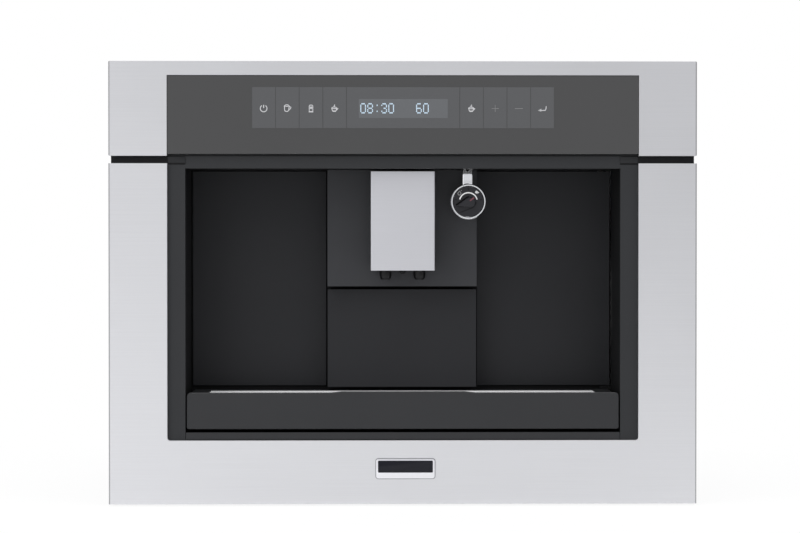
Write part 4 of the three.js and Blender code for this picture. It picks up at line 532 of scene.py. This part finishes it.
CLIP_R = 0.0037
CLIP_W = 0.005
CLIP_T = 0.0006
CLIP_FROM_END = 0.0045  # past the end of the pump or the boiler
EAR_X = (0.0015, 0.0024)
EAR_W = 0.0032
EAR_ROOT = 0.0004  # sunk in the band
EAR_RISE = 0.0042
HOSE_ENDS = {  # the middle of each clip
    "pump_outlet": (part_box("water_pump")[1][0] + CLIP_FROM_END, 0.1101, 0.0407),
    "boiler_inlet": (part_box("boiler")[0][0] - CLIP_FROM_END, 0.0903, 0.0605),
    "boiler_outlet": (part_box("boiler")[1][0] + CLIP_FROM_END, 0.0901, 0.0607),
}


def hose_clip():
    """A sprung band with two ears to pinch it open by."""
    band = rod(CLIP_R, -CLIP_W / 2, CLIP_W / 2, 0, 0, sides=28)
    cut_out(band, rod(CLIP_R - CLIP_T, -CLIP_W, CLIP_W, 0, 0, sides=28))
    ears = []
    for sign in (-1, 1):
        near, far = sorted(sign * x for x in EAR_X)
        ears.append(slab((near, CLIP_R - EAR_ROOT, -EAR_W / 2), (far, CLIP_R + EAR_RISE, EAR_W / 2)))
    clip = fuse([band, *ears])
    round_edges(clip, 0.00015, segments=1)
    return clip


CLIP = hose_clip()
for name, place in HOSE_ENDS.items():
    clip = copy_to(CLIP, place, (0, pi / 2, 0))
    fit_out(clip, f"hose_clip_{name}", "machine", steel_bright)
discard(CLIP)


# ---- Brew unit -----------------------------------------------------------------------------------
# A chamber of natural nylon rides up two columns on a threaded spindle. The spindle's gear has moulded
# teeth, the motor's pinion is brass, and the thread is a coarse left-hand one of 8 mm lead.
THREAD_R = 0.004
THREAD_LEAD = 0.008
THREAD_TURNS = 22
THREAD_RISE = 0.0002
THREAD_HALF = 0.0008  # half the thread's width
THREAD_START = 0.0065  # above the foot of the brew frame
creamy = {"Subsurface_Weight": 0.15, "Subsurface_Scale": 0.002}
nylon = moulding("nylon", (0.70, 0.69, 0.62), 0.42, grain=300, dust=0.03, **creamy)
works_black = moulding("works_black", (0.02, 0.02, 0.021), 0.5)
coat(nylon, "brew_chamber", "brew_spindle")
coat(works_black, "brew_frame", "powder_chute", "tank_dock")
coat(brass, "motor_pinion")
coat(zinc, "brew_motor", "grinder_motor")

spindle_low, spindle_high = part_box("brew_spindle")
spindle_x = (spindle_low[0] + spindle_high[0]) / 2
spindle_y = (spindle_low[1] + spindle_high[1]) / 2
thread_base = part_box("brew_frame")[0][2] + THREAD_START
bpy.ops.object.select_all(action="DESELECT")
bpy.ops.mesh.primitive_circle_add(vertices=4, radius=THREAD_HALF, rotation=(pi / 2, 0, 0))
thread = bpy.context.object
thread.scale = (THREAD_RISE * 2 / THREAD_HALF, 1, 1)
thread.location = (THREAD_R, 0, 0)
bpy.ops.object.transform_apply(location=True, rotation=True, scale=True)
modify(
    thread,
    "SCREW",
    angle=-2 * pi,
    screw_offset=THREAD_LEAD,
    iterations=THREAD_TURNS,
    steps=20,
    render_steps=20,
    use_merge_vertices=True,
)
bpy.ops.object.mode_set(mode="EDIT")
bpy.ops.mesh.select_mode(type="EDGE")
bpy.ops.mesh.select_all(action="DESELECT")
bpy.ops.mesh.select_non_manifold(extend=False)
bpy.ops.mesh.fill_holes(sides=8)
bpy.ops.mesh.select_all(action="SELECT")
bpy.ops.mesh.normals_make_consistent(inside=False)
bpy.ops.object.mode_set(mode="OBJECT")
thread.location = (spindle_x, spindle_y, thread_base)
fit_out(thread, "spindle_thread", "spindle_body", nylon)


# ---- Grinder, hopper and top lids ----------------------------------------------------------------
# Beans are filled in from the top, so the hopper and its lid are smoke-tinted clear plastic. A fluted
# dial beside the lid sets the grind, and its small white line shows where it stands.
def smudges():
    """Faint wiped smears on something polished."""
    group, given, made = surface_group("smudges", ["Smear"])
    place = add_node(group, "TexCoord").outputs["Object"]
    wiped = {"Vector": place, "Scale": (1, 1, 0.35), "Rotation": (0, 0.5, 0)}
    stretched = add_node(group, "Mapping", wiped).outputs["Vector"]
    cloud = add_node(group, "TexNoise", {"Vector": stretched, "Scale": 26, "Detail": 4})
    held = add_node(group, "MapRange", {"Value": cloud.outputs["Fac"], "From Min": 0.4, "From Max": 0.75})
    smear = add_node(group, "Math", {0: held.outputs["Result"], 1: given["Smear"]}, operation="MULTIPLY")
    rough = add_node(group, "Math", {0: given["Roughness"], 1: smear.outputs["Value"]})
    tone = add_node(group, "MapRange", {"Value": cloud.outputs["Fac"], "To Min": 0.98, "To Max": 1.02})
    link = group.links.new
    link(shade(group, given["Colour"], tone.outputs["Result"]), made["Colour"])
    link(rough.outputs["Value"], made["Roughness"])
    link(cloud.outputs["Fac"], made["Height"])
    return group


SMUDGE = smudges()
clear_smoke = finish_with(
    "clear_smoke",
    SMUDGE,
    {"Colour": (0.42, 0.45, 0.48, 1), "Roughness": 0.08, "Smear": 0.1},
    {"Transmission Weight": 0.88, "IOR": 1.49},
)
lid_black = moulding("lid_black", (0.020, 0.021, 0.022), 0.42, dust=0.03)
coat(clear_smoke, "bean_hopper", "hopper_lid", "water_tank")
coat(works_black, "grinder_body")
coat(lid_black, "powder_lid", "grind_dial", "tank_flap")

INDEX_W = 0.0008
INDEX_Y = (0.003, 0.009)  # behind the dial's front edge
INDEX_T = 0.0002
grind_low, grind_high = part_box("grind_dial")
grind_x = (grind_low[0] + grind_high[0]) / 2
index = slab(
    (grind_x - INDEX_W / 2, grind_low[1] + INDEX_Y[0], grind_high[2]),
    (grind_x + INDEX_W / 2, grind_low[1] + INDEX_Y[1], grind_high[2] + INDEX_T),
)
round_edges(index, 0.00008, segments=1)
fit_out(index, "grind_index", "grind_dial_body", print_white)


# ---- Water tank and dock -------------------------------------------------------------------------
# The tank is one clear moulding behind its own front panel. Ribs on its side give the level in litres,
# and a rubber ring seals its valve on the dock.
LEVELS = 4
LEVEL_STEP = 0.04
RIB_RISE = 0.0003
RIB_ROOT = 0.0001  # sunk in the tank's wall
RIB_W = 0.0008
RIB_Y = (0.02, 0.05)  # behind the tank's front
tank_low, tank_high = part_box("water_tank")
level_ribs = []
for level in range(1, LEVELS + 1):
    z = tank_low[2] + LEVEL_STEP * level
    root = (tank_high[0] - RIB_ROOT, tank_low[1] + RIB_Y[0], z)
    rib = slab(root, (tank_high[0] + RIB_RISE, tank_low[1] + RIB_Y[1], z + RIB_W))
    round_edges(rib, 0.0001, segments=1)
    level_ribs.append(rib)
fit_out(fuse(level_ribs), "tank_level_ribs", "tank_body", print_white)

SEAL_R = 0.0041
SEAL_TUBE = 0.0007
VALVE_RISE = 0.016  # above the tank's foot
SEAL_DEPTH = 0.0035  # in front of the tank's back
tank_x = (tank_low[0] + tank_high[0]) / 2
bpy.ops.object.select_all(action="DESELECT")
bpy.ops.mesh.primitive_torus_add(
    major_segments=32,
    minor_segments=8,
    major_radius=SEAL_R,
    minor_radius=SEAL_TUBE,
    location=(tank_x, tank_high[1] - SEAL_DEPTH, tank_low[2] + VALVE_RISE),
    rotation=(pi / 2, 0, 0),
)
seal = bpy.context.object
rubber = moulding("rubber", (0.012, 0.012, 0.012), 0.7, grain=800)
fit_out(seal, "dock_seal", "machine", rubber)


# ---- Niche, back panels and service door ---------------------------------------------------------
# Everything black in the niche is injection-moulded ABS with a fine eroded grain. The tank's front, the
# drawer's front and the door make up the back wall, each with a thin shadow gap round it.
niche_black = moulding("niche_black", (0.0150, 0.0155, 0.0178), 0.48, dust=0.012, Specular_IOR_Level=0.22)
# The liner of the niche's walls and ceiling is the same black made darker: painted shade for walls the light
# hardly reaches.
liner_painted_shade = moulding("liner_painted_shade", (0.0075, 0.0075, 0.0082), 0.5, dust=0.008, Specular_IOR_Level=0.12)
column_black = moulding("column_black", (0.0275, 0.0285, 0.0320), 0.46, dust=0.012, Specular_IOR_Level=0.3)
coat(niche_black, "tank_front", "service_door", "drawer_front")
coat(liner_painted_shade, "niche_liner")
coat(column_black, "spout_column")
coat(works_black, "grounds_bin")

# A soft lip under the column reaches down behind the drawer's front and keeps steam out of the machine.
# The lip is in the liner's darker black, which paints shade into the gap above the drawer.
LIP_T = 0.0018
LIP_GAP = 0.0004  # behind the column
LIP_LAP = 0.0008  # under the drawer front's upper edge
LIP_RISE = 0.008  # above the column's lower edge
column_low, column_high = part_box("spout_column")
drawer_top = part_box("drawer_front")[1][2]
lip_y = column_high[1] + LIP_GAP
lip = slab(
    (column_low[0], lip_y, drawer_top - LIP_LAP),
    (column_high[0], lip_y + LIP_T, column_low[2] + LIP_RISE),
)
round_edges(lip, 0.0004)
fit_out(lip, "column_lip", "machine", liner_painted_shade)


# ---- Surround ------------------------------------------------------------------------------------
# One moulding behind both steel pieces makes the stiles beside the niche, the bar over it and the dark
# line between the two pieces. It is a shade greyer than the niche.
surround_black = moulding("surround_black", (0.0158, 0.0168, 0.0188), 0.5, dust=0.01, Specular_IOR_Level=0.3)
coat(surround_black, "front_surround")

# Dark strips lie in the line between the two steel pieces, on both sides of the niche: painted shade for
# the recessed gap. A smooth cap in a lighter painted shade ends each strip where the steel stops.
SEAM_T = 0.0006
CAP_T = 0.0009
CAP_FOOT = 0.0014  # above the strip's lower edge
SEAM_X = (0.2203, 0.2945)  # from the niche's edge to just short of the front's end
CAP_X = (0.2203, 0.2380)
SEAM_DROP = 0.0008  # the bars lie this much lower than the gap between the steel pieces
soft = {"grain": 1500, "dust": 0.01, "bump": 0.0001, "Specular_IOR_Level": 0.2}
gap_shade_black = moulding("gap_shade_black", (0.0062, 0.0062, 0.0070), 0.8, **soft)
cap_shade_black = moulding("cap_shade_black", (0.0118, 0.0125, 0.0140), 0.5, dust=0.01, Specular_IOR_Level=0.25)
seam_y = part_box("front_surround")[0][1]
seam_z = (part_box("lower_fascia")[1][2] - SEAM_DROP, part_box("upper_fascia")[0][2] - SEAM_DROP)


def in_line(name, reach, low, thickness, edge, material):
    """The same bar in the line on both sides of the niche."""
    bars = []
    for sign in (-1, 1):
        near, far = sorted(sign * x for x in reach)
        bar = slab((near, seam_y - thickness, low), (far, seam_y, seam_z[1]))
        round_edges(bar, edge)
        bars.append(bar)
    fit_out(fuse(bars), name, "machine", material)


in_line("seam_shade_strips", SEAM_X, seam_z[0], SEAM_T, 0.0002, gap_shade_black)
in_line("seam_shade_caps", CAP_X, seam_z[0] + CAP_FOOT, CAP_T, 0.0001, cap_shade_black)


# ---- Steel front ---------------------------------------------------------------------------------
# The two fascias are stainless sheet, ground along their length with a fine belt and left satin. Their
# edges are folded back, and a thin line of painted shade marks the folds at both ends.
front_steel = finish_with(
    "front_steel",
    GRAIN,
    {"Colour": (0.675, 0.677, 0.695, 1), "Roughness": 0.40, "Depth": 1.0, "Fold_Shade": 0.48},
    {"Metallic": 1.0, "Anisotropic": 0.5},
    bump=0.00002,
)
coat(front_steel, "upper_fascia", "lower_fascia")


# ---- Control glass -------------------------------------------------------------------------------
# One strip of tinted toughened glass, printed grey on its back. Eight touch fields and a display show
# through clear windows in the print, so they look a shade lighter than the glass round them.
def polished(name, colour, roughness, smear, sockets=None):
    """A polished finish with its smears."""
    values = {"Colour": (*colour, 1), "Roughness": roughness, "Smear": smear}
    return finish_with(name, SMUDGE, values, sockets)


white_glow = {"Emission Color": (0.8, 0.82, 0.85, 1), "Emission Strength": 0.08}
blue_glow = {"Emission Color": (0.55, 0.75, 0.95, 1), "Emission Strength": 0.18}
glass_tint = polished("glass_tint", (0.0475, 0.0475, 0.048), 0.09, 0.05)
field_grey = polished("field_grey", (0.073, 0.0745, 0.0775), 0.09, 0.05)
window_grey = polished("window_grey", (0.100, 0.104, 0.110), 0.09, 0.05)
icon_white = polished("icon_white", (0.42, 0.42, 0.43), 0.3, 0.1, white_glow)
icon_dim = polished("icon_dim", (0.20, 0.20, 0.20), 0.3, 0.1)
dot_blue = polished("dot_blue", (0.42, 0.53, 0.62), 0.3, 0.1, blue_glow)
coat(glass_tint, "control_glass")

glass_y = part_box("control_glass")[0][1]
FILM_T = 0.00008
PRINT_T = 0.00016
FIELD_LOW = 0.3824
FIELD_HIGH = 0.4237
FIELD_PITCH = 0.0239
FIELD_GAP = 0.0007
LEFT_FIELDS = -0.1525
RIGHT_FIELDS = 0.0576
FIELDS = 4


def film(x, z, thickness=FILM_T):
    """A flat print on the glass, between two values of x and of z."""
    piece = slab((x[0], glass_y - thickness, z[0]), (x[1], glass_y, z[1]))
    round_edges(piece, FILM_T / 3, segments=1)
    return piece


field_starts = [start + FIELD_PITCH * k for start in (LEFT_FIELDS, RIGHT_FIELDS) for k in range(FIELDS)]
display_x = (LEFT_FIELDS + FIELD_PITCH * FIELDS, RIGHT_FIELDS)
fields = [film((x, x + FIELD_PITCH - FIELD_GAP), (FIELD_LOW, FIELD_HIGH)) for x in field_starts]
fields.append(film((display_x[0], display_x[1] - FIELD_GAP), (FIELD_LOW, FIELD_HIGH)))
fit_out(fuse(fields), "touch_fields", "machine", field_grey)

WINDOW_X = (-0.0448, 0.0451)
WINDOW_Z = (0.3926, 0.4117)
window = film(WINDOW_X, WINDOW_Z, FILM_T * 1.5)
fit_out(window, "display_window", "machine", window_grey)

# The display writes with a grid of dots, five across and seven down for each digit.
DIGITS = {
    "0": (" ### ", "#   #", "#   #", "#   #", "#   #", "#   #", " ### "),
    "3": (" ### ", "#   #", "    #", "  ## ", "    #", "#   #", " ### "),
    "6": (" ### ", "#    ", "#    ", "#### ", "#   #", "#   #", " ### "),
    "8": (" ### ", "#   #", "#   #", " ### ", "#   #", "#   #", " ### "),
    ":": ("     ", "  #  ", "     ", "     ", "     ", "  #  ", "     "),
}
DOT_STEP_X = 0.00118
DOT_STEP_Z = 0.00152
DOT_W = 0.00098
DOT_H = 0.0013
DIGIT_STEP = 6 * DOT_STEP_X
DIGIT_TOP = 0.4076


def dots(text, x):
    """The lit dots of a number, from its left edge."""
    lit = []
    dot = film((0, DOT_W), (-DOT_H, 0), PRINT_T)
    for place, digit in enumerate(text):
        for row, line in enumerate(DIGITS[digit]):
            for column, mark in enumerate(line):
                if mark == "#":
                    left = x + place * DIGIT_STEP + column * DOT_STEP_X
                    lit.append(copy_to(dot, (left, 0, DIGIT_TOP - row * DOT_STEP_Z)))
    discard(dot)
    return lit


TIME_X = WINDOW_X[0] + 0.0015
COUNT_X = WINDOW_X[1] - 0.0320
lit_dots = dots("08:30", TIME_X) + dots("60", COUNT_X)
fit_out(fuse(lit_dots), "display_digits", "machine", dot_blue)

# Each icon is drawn round the middle of its field: its lines are lists of (x, z) points.
ICON_LINE = 0.0010
THIN_LINE = 0.0005
ICON_Z = 0.4022
POWER_R = 0.0034


def millimetres(points):
    return [(x / 1000, z / 1000) for x, z in points]


POWER = [arc(POWER_R, 122, 418, 20), millimetres([(0, 3.6), (0, 0.4)])]
MUG = [
    millimetres([(-3, 2.6), (-2.7, -2), (-1.7, -3), (0.3, -3), (1.4, -2), (1.8, 2.6)]),
    millimetres([(-3, 2.8), (-1.6, 3.6), (0.4, 3.6), (1.8, 2.8), (0.3, 2.1), (-1.5, 2.1), (-3, 2.8)]),
    millimetres([(1.9, 1.9), (3.6, 1.2), (3.4, 0.2), (1.7, -1.5)]),
]
JAR = [
    millimetres([(-1.8, -3), (-1.8, 2.4), (-1, 3.4), (1, 3.4), (1.8, 2.4), (1.8, -3), (-1.8, -3)]),
    millimetres([(-2.3, -3.5), (2.3, -3.5)]),
    millimetres([(-0.6, -0.6), (-0.6, 1), (0, 1.8), (0.6, 1), (0.6, -0.6)]),
]
CUP = [
    millimetres([(-3, 0.5), (-2.4, -1.8), (-1.6, -3), (0.8, -3), (1.6, -1.8), (2.2, 0.5)]),
    millimetres([(-3, 0.6), (-1.6, 1.4), (0.8, 1.4), (2.2, 0.6), (0.8, -0.2), (-1.6, -0.2), (-3, 0.6)]),
    millimetres([(-1.6, -2.5), (0.8, -2.5)]),
    millimetres([(2.3, 0.3), (3.4, -0.2), (1.9, -1.6)]),
    millimetres([(-0.6, 1.6), (-0.4, 2.8), (0.2, 3.9)]),
]
ENTER = [
    millimetres([(3.9, 2.4), (3.6, -0.4), (2.8, -1.8), (-1.2, -1.9)]),
    millimetres([(-1.4, -0.4), (-3.9, -1.9), (-1.4, -2.6), (-1.4, -0.4)]),
    millimetres([(-2, -1.3), (-2, -2)]),
]
PLUS = [millimetres([(-3.6, 0), (3.6, 0)]), millimetres([(0, -3.4), (0, 3.6)])]
MINUS = [millimetres([(-4, 0), (4, 0)])]
ICONS = {
    "power": (POWER, ICON_LINE, icon_white),
    "mug": (MUG, ICON_LINE, icon_white),
    "jar": (JAR, ICON_LINE, icon_white),
    "cup": (CUP, ICON_LINE, icon_white),
    "two_cups": (CUP, ICON_LINE, icon_white),
    "plus": (PLUS, THIN_LINE, icon_dim),
    "minus": (MINUS, THIN_LINE, icon_dim),
    "enter": (ENTER, ICON_LINE, icon_white),
}
for (name, (lines, width, material)), start in zip(ICONS.items(), field_starts):
    middle = start + (FIELD_PITCH - FIELD_GAP) / 2
    icon = drawn(lines, width, PRINT_T * 2, (middle, glass_y - FILM_T, ICON_Z))
    fit_out(icon, f"icon_{name}", "machine", material)


# ---- Spout -----------------------------------------------------------------------------------------
# The coffee spout is a black moulding with two nozzles behind a folded cover of brushed steel. It rides
# up and down on a tongue in the column's slot.
spout_steel = finish_with(
    "spout_steel",
    GRAIN,
    {"Colour": (0.60, 0.602, 0.63, 1), "Roughness": 0.42, "Depth": 1.0},
    {"Metallic": 1.0, "Anisotropic": 0.4},
    bump=0.00002,
)
spout_black = moulding("spout_black", (0.004, 0.004, 0.0045), 0.35, dust=0.004, Specular_IOR_Level=0.25)
coat(spout_steel, "spout_cover")
coat(spout_black, "spout_body", "spout_nozzle_left", "spout_nozzle_right")


# ---- Steam and hot-water tap -----------------------------------------------------------------------
# A chromed tube comes down to a valve. Its dial is black in a chrome ring: a white arc runs between two
# small pictures, and the grip carries a red line.
chrome = polished("chrome", (0.86, 0.87, 0.88), 0.09, 0.1, {"Metallic": 1.0})
arm_chrome = polished("arm_chrome", (0.97, 0.98, 1.0), 0.06, 0.03, {"Metallic": 1.0})
ring_chrome = polished("ring_chrome", (0.97, 0.98, 1.0), 0.1, 0.03, {"Metallic": 1.0})
dial_black = moulding("dial_black", (0.0125, 0.0125, 0.0155), 0.34, dust=0.008, Specular_IOR_Level=0.32)
index_red = moulding("index_red", (0.13, 0.028, 0.042), 0.5, bump=0.0)
unlit = {"dust": 0.0, "bump": 0.0, "Specular_IOR_Level": 0.05}
# The ticks' flat black also serves as painted shadow by the grip and painted shade in the arm's hole.
tick_and_shade_black = moulding("tick_and_shade_black", (0.002, 0.002, 0.002), 0.5, **unlit)
coat(chrome, "steam_outlet", "steam_tube")
coat(ring_chrome, "dial_ring")
coat(dial_black, "tap_dial")
coat(works_black, "steam_valve")

# The tube comes down inside a polished arm of square section, open at both ends.
ARM_W = 0.0101
ARM_WALL = 0.0008
tube_low, tube_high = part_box("steam_tube")
arm_x = (tube_low[0] + tube_high[0]) / 2
arm_y = (tube_low[1] + tube_high[1]) / 2
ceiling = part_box("niche_liner")[1][2]
arm_half = ARM_W / 2
arm_corner = (arm_x + arm_half, arm_y + arm_half, ceiling)
arm = slab((arm_x - arm_half, arm_y - arm_half, tube_low[2]), arm_corner)
round_edges(arm, 0.0007, segments=3)
cut_out(arm, rod(arm_half - ARM_WALL, tube_low[2] - ABOVE, ceiling + ABOVE, arm_x, arm_y, sides=32))
fit_out(arm, "tap_arm", "machine", arm_chrome)

# What is printed on the dial, and the painted shadow along its grip, is drawn round its middle.
FACE_DEPTH = 0.0009  # the dial's face lies this far behind the ring's front
ARC_R = 0.0091
DROP = [
    millimetres([(-9.2, 10.9), (-10.9, 8.5), (-10.2, 6.8), (-8.2, 6.8), (-7.5, 8.5), (-9.2, 10.9)]),
    millimetres([(-7.6, 11), (-7, 11.6)]),
]
STEAM = [
    millimetres([(7, 9.2), (7.9, 10.9), (9.4, 9.9), (10.8, 9.2), (8.6, 8.6), (7, 9.2)]),
    millimetres([(7.8, 9.7), (9, 9.4)]),
]
TICKS = [
    millimetres([(0, 11.8), (0, 13.6)]),
    millimetres([(-13.8, 2), (-11.8, 2)]),
    millimetres([(11.8, 2), (13.8, 2)]),
]
GRIP_TOP_SHADOW = millimetres([(-12.7, -3.6), (-1.9, 4.2), (0.6, 5.3)])
GRIP_FOOT_SHADOW = millimetres([(-8.6, -11.2), (4.2, -6.2), (6.9, -3.4), (7.7, -0.6)])
GRIP_LINE = millimetres([(1.4, 0.8), (5.6, 4)])
ring_low, ring_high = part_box("dial_ring")
tap_x = (ring_low[0] + ring_high[0]) / 2
tap_z = (ring_low[2] + ring_high[2]) / 2
face_y = ring_low[1] + FACE_DEPTH
grip_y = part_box("tap_dial")[0][1]


def on_dial(lines, width, y=face_y):
    return drawn(lines, width, INK, (tap_x, y, tap_z))


dial_print = fuse([on_dial([arc(ARC_R, 14, 166, 30)], 0.0014), on_dial(STEAM, 0.0009)])
fit_out(dial_print, "dial_print", "dial_body", print_white)
fit_out(on_dial(DROP, 0.0006), "dial_drop", "dial_body", print_grey)
fit_out(on_dial(TICKS, 0.0007), "dial_ticks", "dial_body", tick_and_shade_black)
# Thin black lines along the grip's upper edge and its foot are painted shadow of the raised grip.
grip_shadow = fuse([on_dial([GRIP_TOP_SHADOW], 0.0014), on_dial([GRIP_FOOT_SHADOW], 0.0006)])
fit_out(grip_shadow, "grip_shadow", "dial_body", tick_and_shade_black)
fit_out(on_dial([GRIP_LINE], 0.0016, grip_y), "grip_line", "dial_body", index_red)

# A flat disc of dull black on the arm's front is painted shade for a small hole in it.
HOLE_SHADE_R = 0.0019
HOLE_SHADE_Z = 0.3416
hole_shade = rod(HOLE_SHADE_R, -INK, INK, 0, 0, sides=20)
round_edges(hole_shade, 0.0002)
hole_shade.rotation_euler = (pi / 2, 0, 0)
hole_shade.location = (arm_x, arm_y - arm_half, HOLE_SHADE_Z)
fit_out(hole_shade, "arm_hole_shade", "machine", tick_and_shade_black)


# ---- Drip tray, grille and sill ----------------------------------------------------------------------
# The tray slides out over the sill. It is moulded in nearly the same black as the surround, and its
# grille is a stamped sheet of satin steel that lifts out.
tray_black = moulding("tray_black", (0.0165, 0.0172, 0.0192), 0.45, dust=0.015, Specular_IOR_Level=0.32)
# The grille is given a near-white, almost matt colour: painted sheen in place of the satin steel's
# reflection.
grille_steel = finish_with(
    "grille_steel",
    GRAIN,
    {"Colour": (0.97, 0.97, 0.98, 1), "Roughness": 0.42, "Depth": 0.6},
    {"Metallic": 0.1, "Specular IOR Level": 0.05},
    bump=0.00002,
)
coat(tray_black, "drip_tray", "sill")
coat(grille_steel, "cup_grille")


# ---- Badge -------------------------------------------------------------------------------------------
# A small cast plate with a stepped edge is glued to the lower fascia. Its upper field is filled with
# dark enamel and its lower field is plain metal; both are left bare.
BADGE_W = 0.0608
BADGE_H = 0.0212
BADGE_X = 0.0023
BADGE_Z = 0.0378
BADGE_CORNER = 0.0030
BASE_T = 0.0006
RAISED_T = 0.0012
OUTLINE = 0.0008
ENAMEL_W = 0.0556
ENAMEL_H = 0.0122
ENAMEL_RISE = 0.0021  # above the middle of the badge
ENAMEL_CORNER = 0.0011
ENAMEL_T = 0.0001
fascia_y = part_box("lower_fascia")[0][1]


def rounded_plate(width, height, thickness, x, z, corner):
    """A plate on the fascia, facing the front, with its four upright corners rounded."""
    low = (x - width / 2, fascia_y - thickness, z - height / 2)
    plate = slab(low, (x + width / 2, fascia_y, z + height / 2))
    points = plate.data.vertices
    bpy.ops.object.mode_set(mode="EDIT")
    bpy.ops.mesh.select_mode(type="EDGE")
    bpy.ops.mesh.select_all(action="DESELECT")
    bpy.ops.object.mode_set(mode="OBJECT")
    for edge in plate.data.edges:
        across = points[edge.vertices[0]].co - points[edge.vertices[1]].co
        edge.select = abs(across.y) > 0.5 * across.length
    bpy.ops.object.mode_set(mode="EDIT")
    bpy.ops.mesh.bevel(offset=corner, segments=6, affect="EDGES")
    bpy.ops.object.mode_set(mode="OBJECT")
    round_edges(plate, 0.0001, angle=50)
    return plate


badge_metal = finish_with(
    "badge_metal",
    GRAIN,
    {"Colour": (0.80, 0.80, 0.83, 1), "Roughness": 0.36, "Depth": 0.2},
    {"Metallic": 1.0},
    bump=0.00001,
)
badge_edge = finish_with(
    "badge_edge", GRAIN, {"Colour": (0.30, 0.30, 0.32, 1), "Roughness": 0.4, "Depth": 0.2}, {"Metallic": 1.0}
)
smooth = {"grain": 300, "dust": 0.004, "bump": 0.00001, "Specular_IOR_Level": 0.25}
enamel = moulding("enamel", (0.004, 0.004, 0.009), 0.2, **smooth)
base = rounded_plate(BADGE_W, BADGE_H, BASE_T, BADGE_X, BADGE_Z, BADGE_CORNER)
fit_out(base, "badge_base", "machine", badge_edge)
raised_w = BADGE_W - 2 * OUTLINE
raised_h = BADGE_H - 2 * OUTLINE
raised = rounded_plate(raised_w, raised_h, RAISED_T, BADGE_X, BADGE_Z, BADGE_CORNER - OUTLINE)
fit_out(raised, "badge_plate", "machine", badge_metal)
enamel_t = RAISED_T + ENAMEL_T
enamel_z = BADGE_Z + ENAMEL_RISE
field = rounded_plate(ENAMEL_W, ENAMEL_H, enamel_t, BADGE_X, enamel_z, ENAMEL_CORNER)
fit_out(field, "badge_field", "machine", enamel)


# ---- Camera, light and backdrop ----------------------------------------------------------------------
# The front is seen nearly square on, from a little left of its middle, with a long lens. Four soft
# boxes light it in a pale studio.
LENS_PX = 2571  # focal length in the photo's pixels
FRAME_PX = 800
SENSOR = 36
eye = Vector((-0.0462, -2.8, 0.2774))
aim = Vector((-0.0032, -0.2, 0.2425))
camera_data = bpy.data.cameras.new("camera")
camera_data.sensor_width = SENSOR
camera_data.lens = LENS_PX / FRAME_PX * SENSOR
camera = bpy.data.objects.new("camera", camera_data)
bpy.context.scene.collection.objects.link(camera)
camera.location = eye
camera.rotation_euler = (aim - eye).to_track_quat("-Z", "Y").to_euler()
bpy.context.scene.camera = camera


def seen_straight(tree):
    """1 where the camera looks at it, straight or through something clear."""
    rays = add_node(tree, "LightPath").outputs
    straight = {0: rays["Is Camera Ray"], 1: rays["Is Transmission Ray"]}
    return add_node(tree, "Math", straight, operation="MAXIMUM").outputs["Value"]


world = bpy.data.worlds.new("studio")
world.use_nodes = True
bpy.context.scene.world = world
sky = world.node_tree
room = sky.nodes["Background"]
room.inputs["Color"].default_value = (0.87, 0.875, 0.895, 1)
room.inputs["Strength"].default_value = 0.75
white = add_node(sky, "Background", {"Color": (1, 1, 1, 1), "Strength": 1})
either = {0: seen_straight(sky), 1: room.outputs["Background"], 2: white.outputs["Background"]}
backdrop = add_node(sky, "MixShader", either)
sky.links.new(backdrop.outputs["Shader"], sky.nodes["World Output"].inputs["Surface"])


LAMP_AIM = Vector((0, 0, 0.22))


def softbox(name, place, size, power):
    lamp = bpy.data.lights.new(name, "AREA")
    lamp.shape = "RECTANGLE"
    lamp.size, lamp.size_y = size
    lamp.energy = power
    holder = bpy.data.objects.new(name, lamp)
    bpy.context.scene.collection.objects.link(holder)
    holder.location = place
    holder.rotation_euler = (LAMP_AIM - Vector(place)).to_track_quat("-Z", "Y").to_euler()


softbox("key", (-1.6, -2.0, 2.0), (1.6, 1.4), 20)
softbox("fill", (1.9, -1.8, 2.0), (1.4, 1.4), 10)
softbox("top", (0.0, -0.8, 2.2), (1.8, 1.2), 27)
softbox("low", (-1.7, -2.2, 0.25), (1.6, 0.9), 6)

bpy.ops.object.select_all(action="DESELECT")
bpy.ops.mesh.primitive_plane_add(size=60, location=(0, 0, 0))
floor = bpy.context.object
floor.name = "floor"
paper = bpy.data.materials.new("paper")
paper.use_nodes = True
paper_nodes = paper.node_tree
matt = paper_nodes.nodes["Principled BSDF"]
matt.inputs["Base Color"].default_value = (0.9, 0.9, 0.9, 1)
matt.inputs["Roughness"].default_value = 0.9
glow = add_node(paper_nodes, "Emission", {"Strength": 1.0})
spot = add_node(paper_nodes, "TexCoord").outputs["Object"]
away = add_node(paper_nodes, "VectorMath", {0: spot}, operation="LENGTH")
fade = {"Value": away.outputs["Value"], "From Min": 0.3, "From Max": 0.7, "To Min": 0.9}
plain = add_node(paper_nodes, "MapRange", fade)
seen = {0: seen_straight(paper_nodes), 1: plain.outputs["Result"]}
share = add_node(paper_nodes, "Math", seen, operation="MULTIPLY")
either = {0: share.outputs["Value"], 1: matt.outputs["BSDF"], 2: glow.outputs["Emission"]}
lit = add_node(paper_nodes, "MixShader", either)
paper_nodes.links.new(lit.outputs["Shader"], paper_nodes.nodes["Material Output"].inputs["Surface"])
floor.data.materials.append(paper)
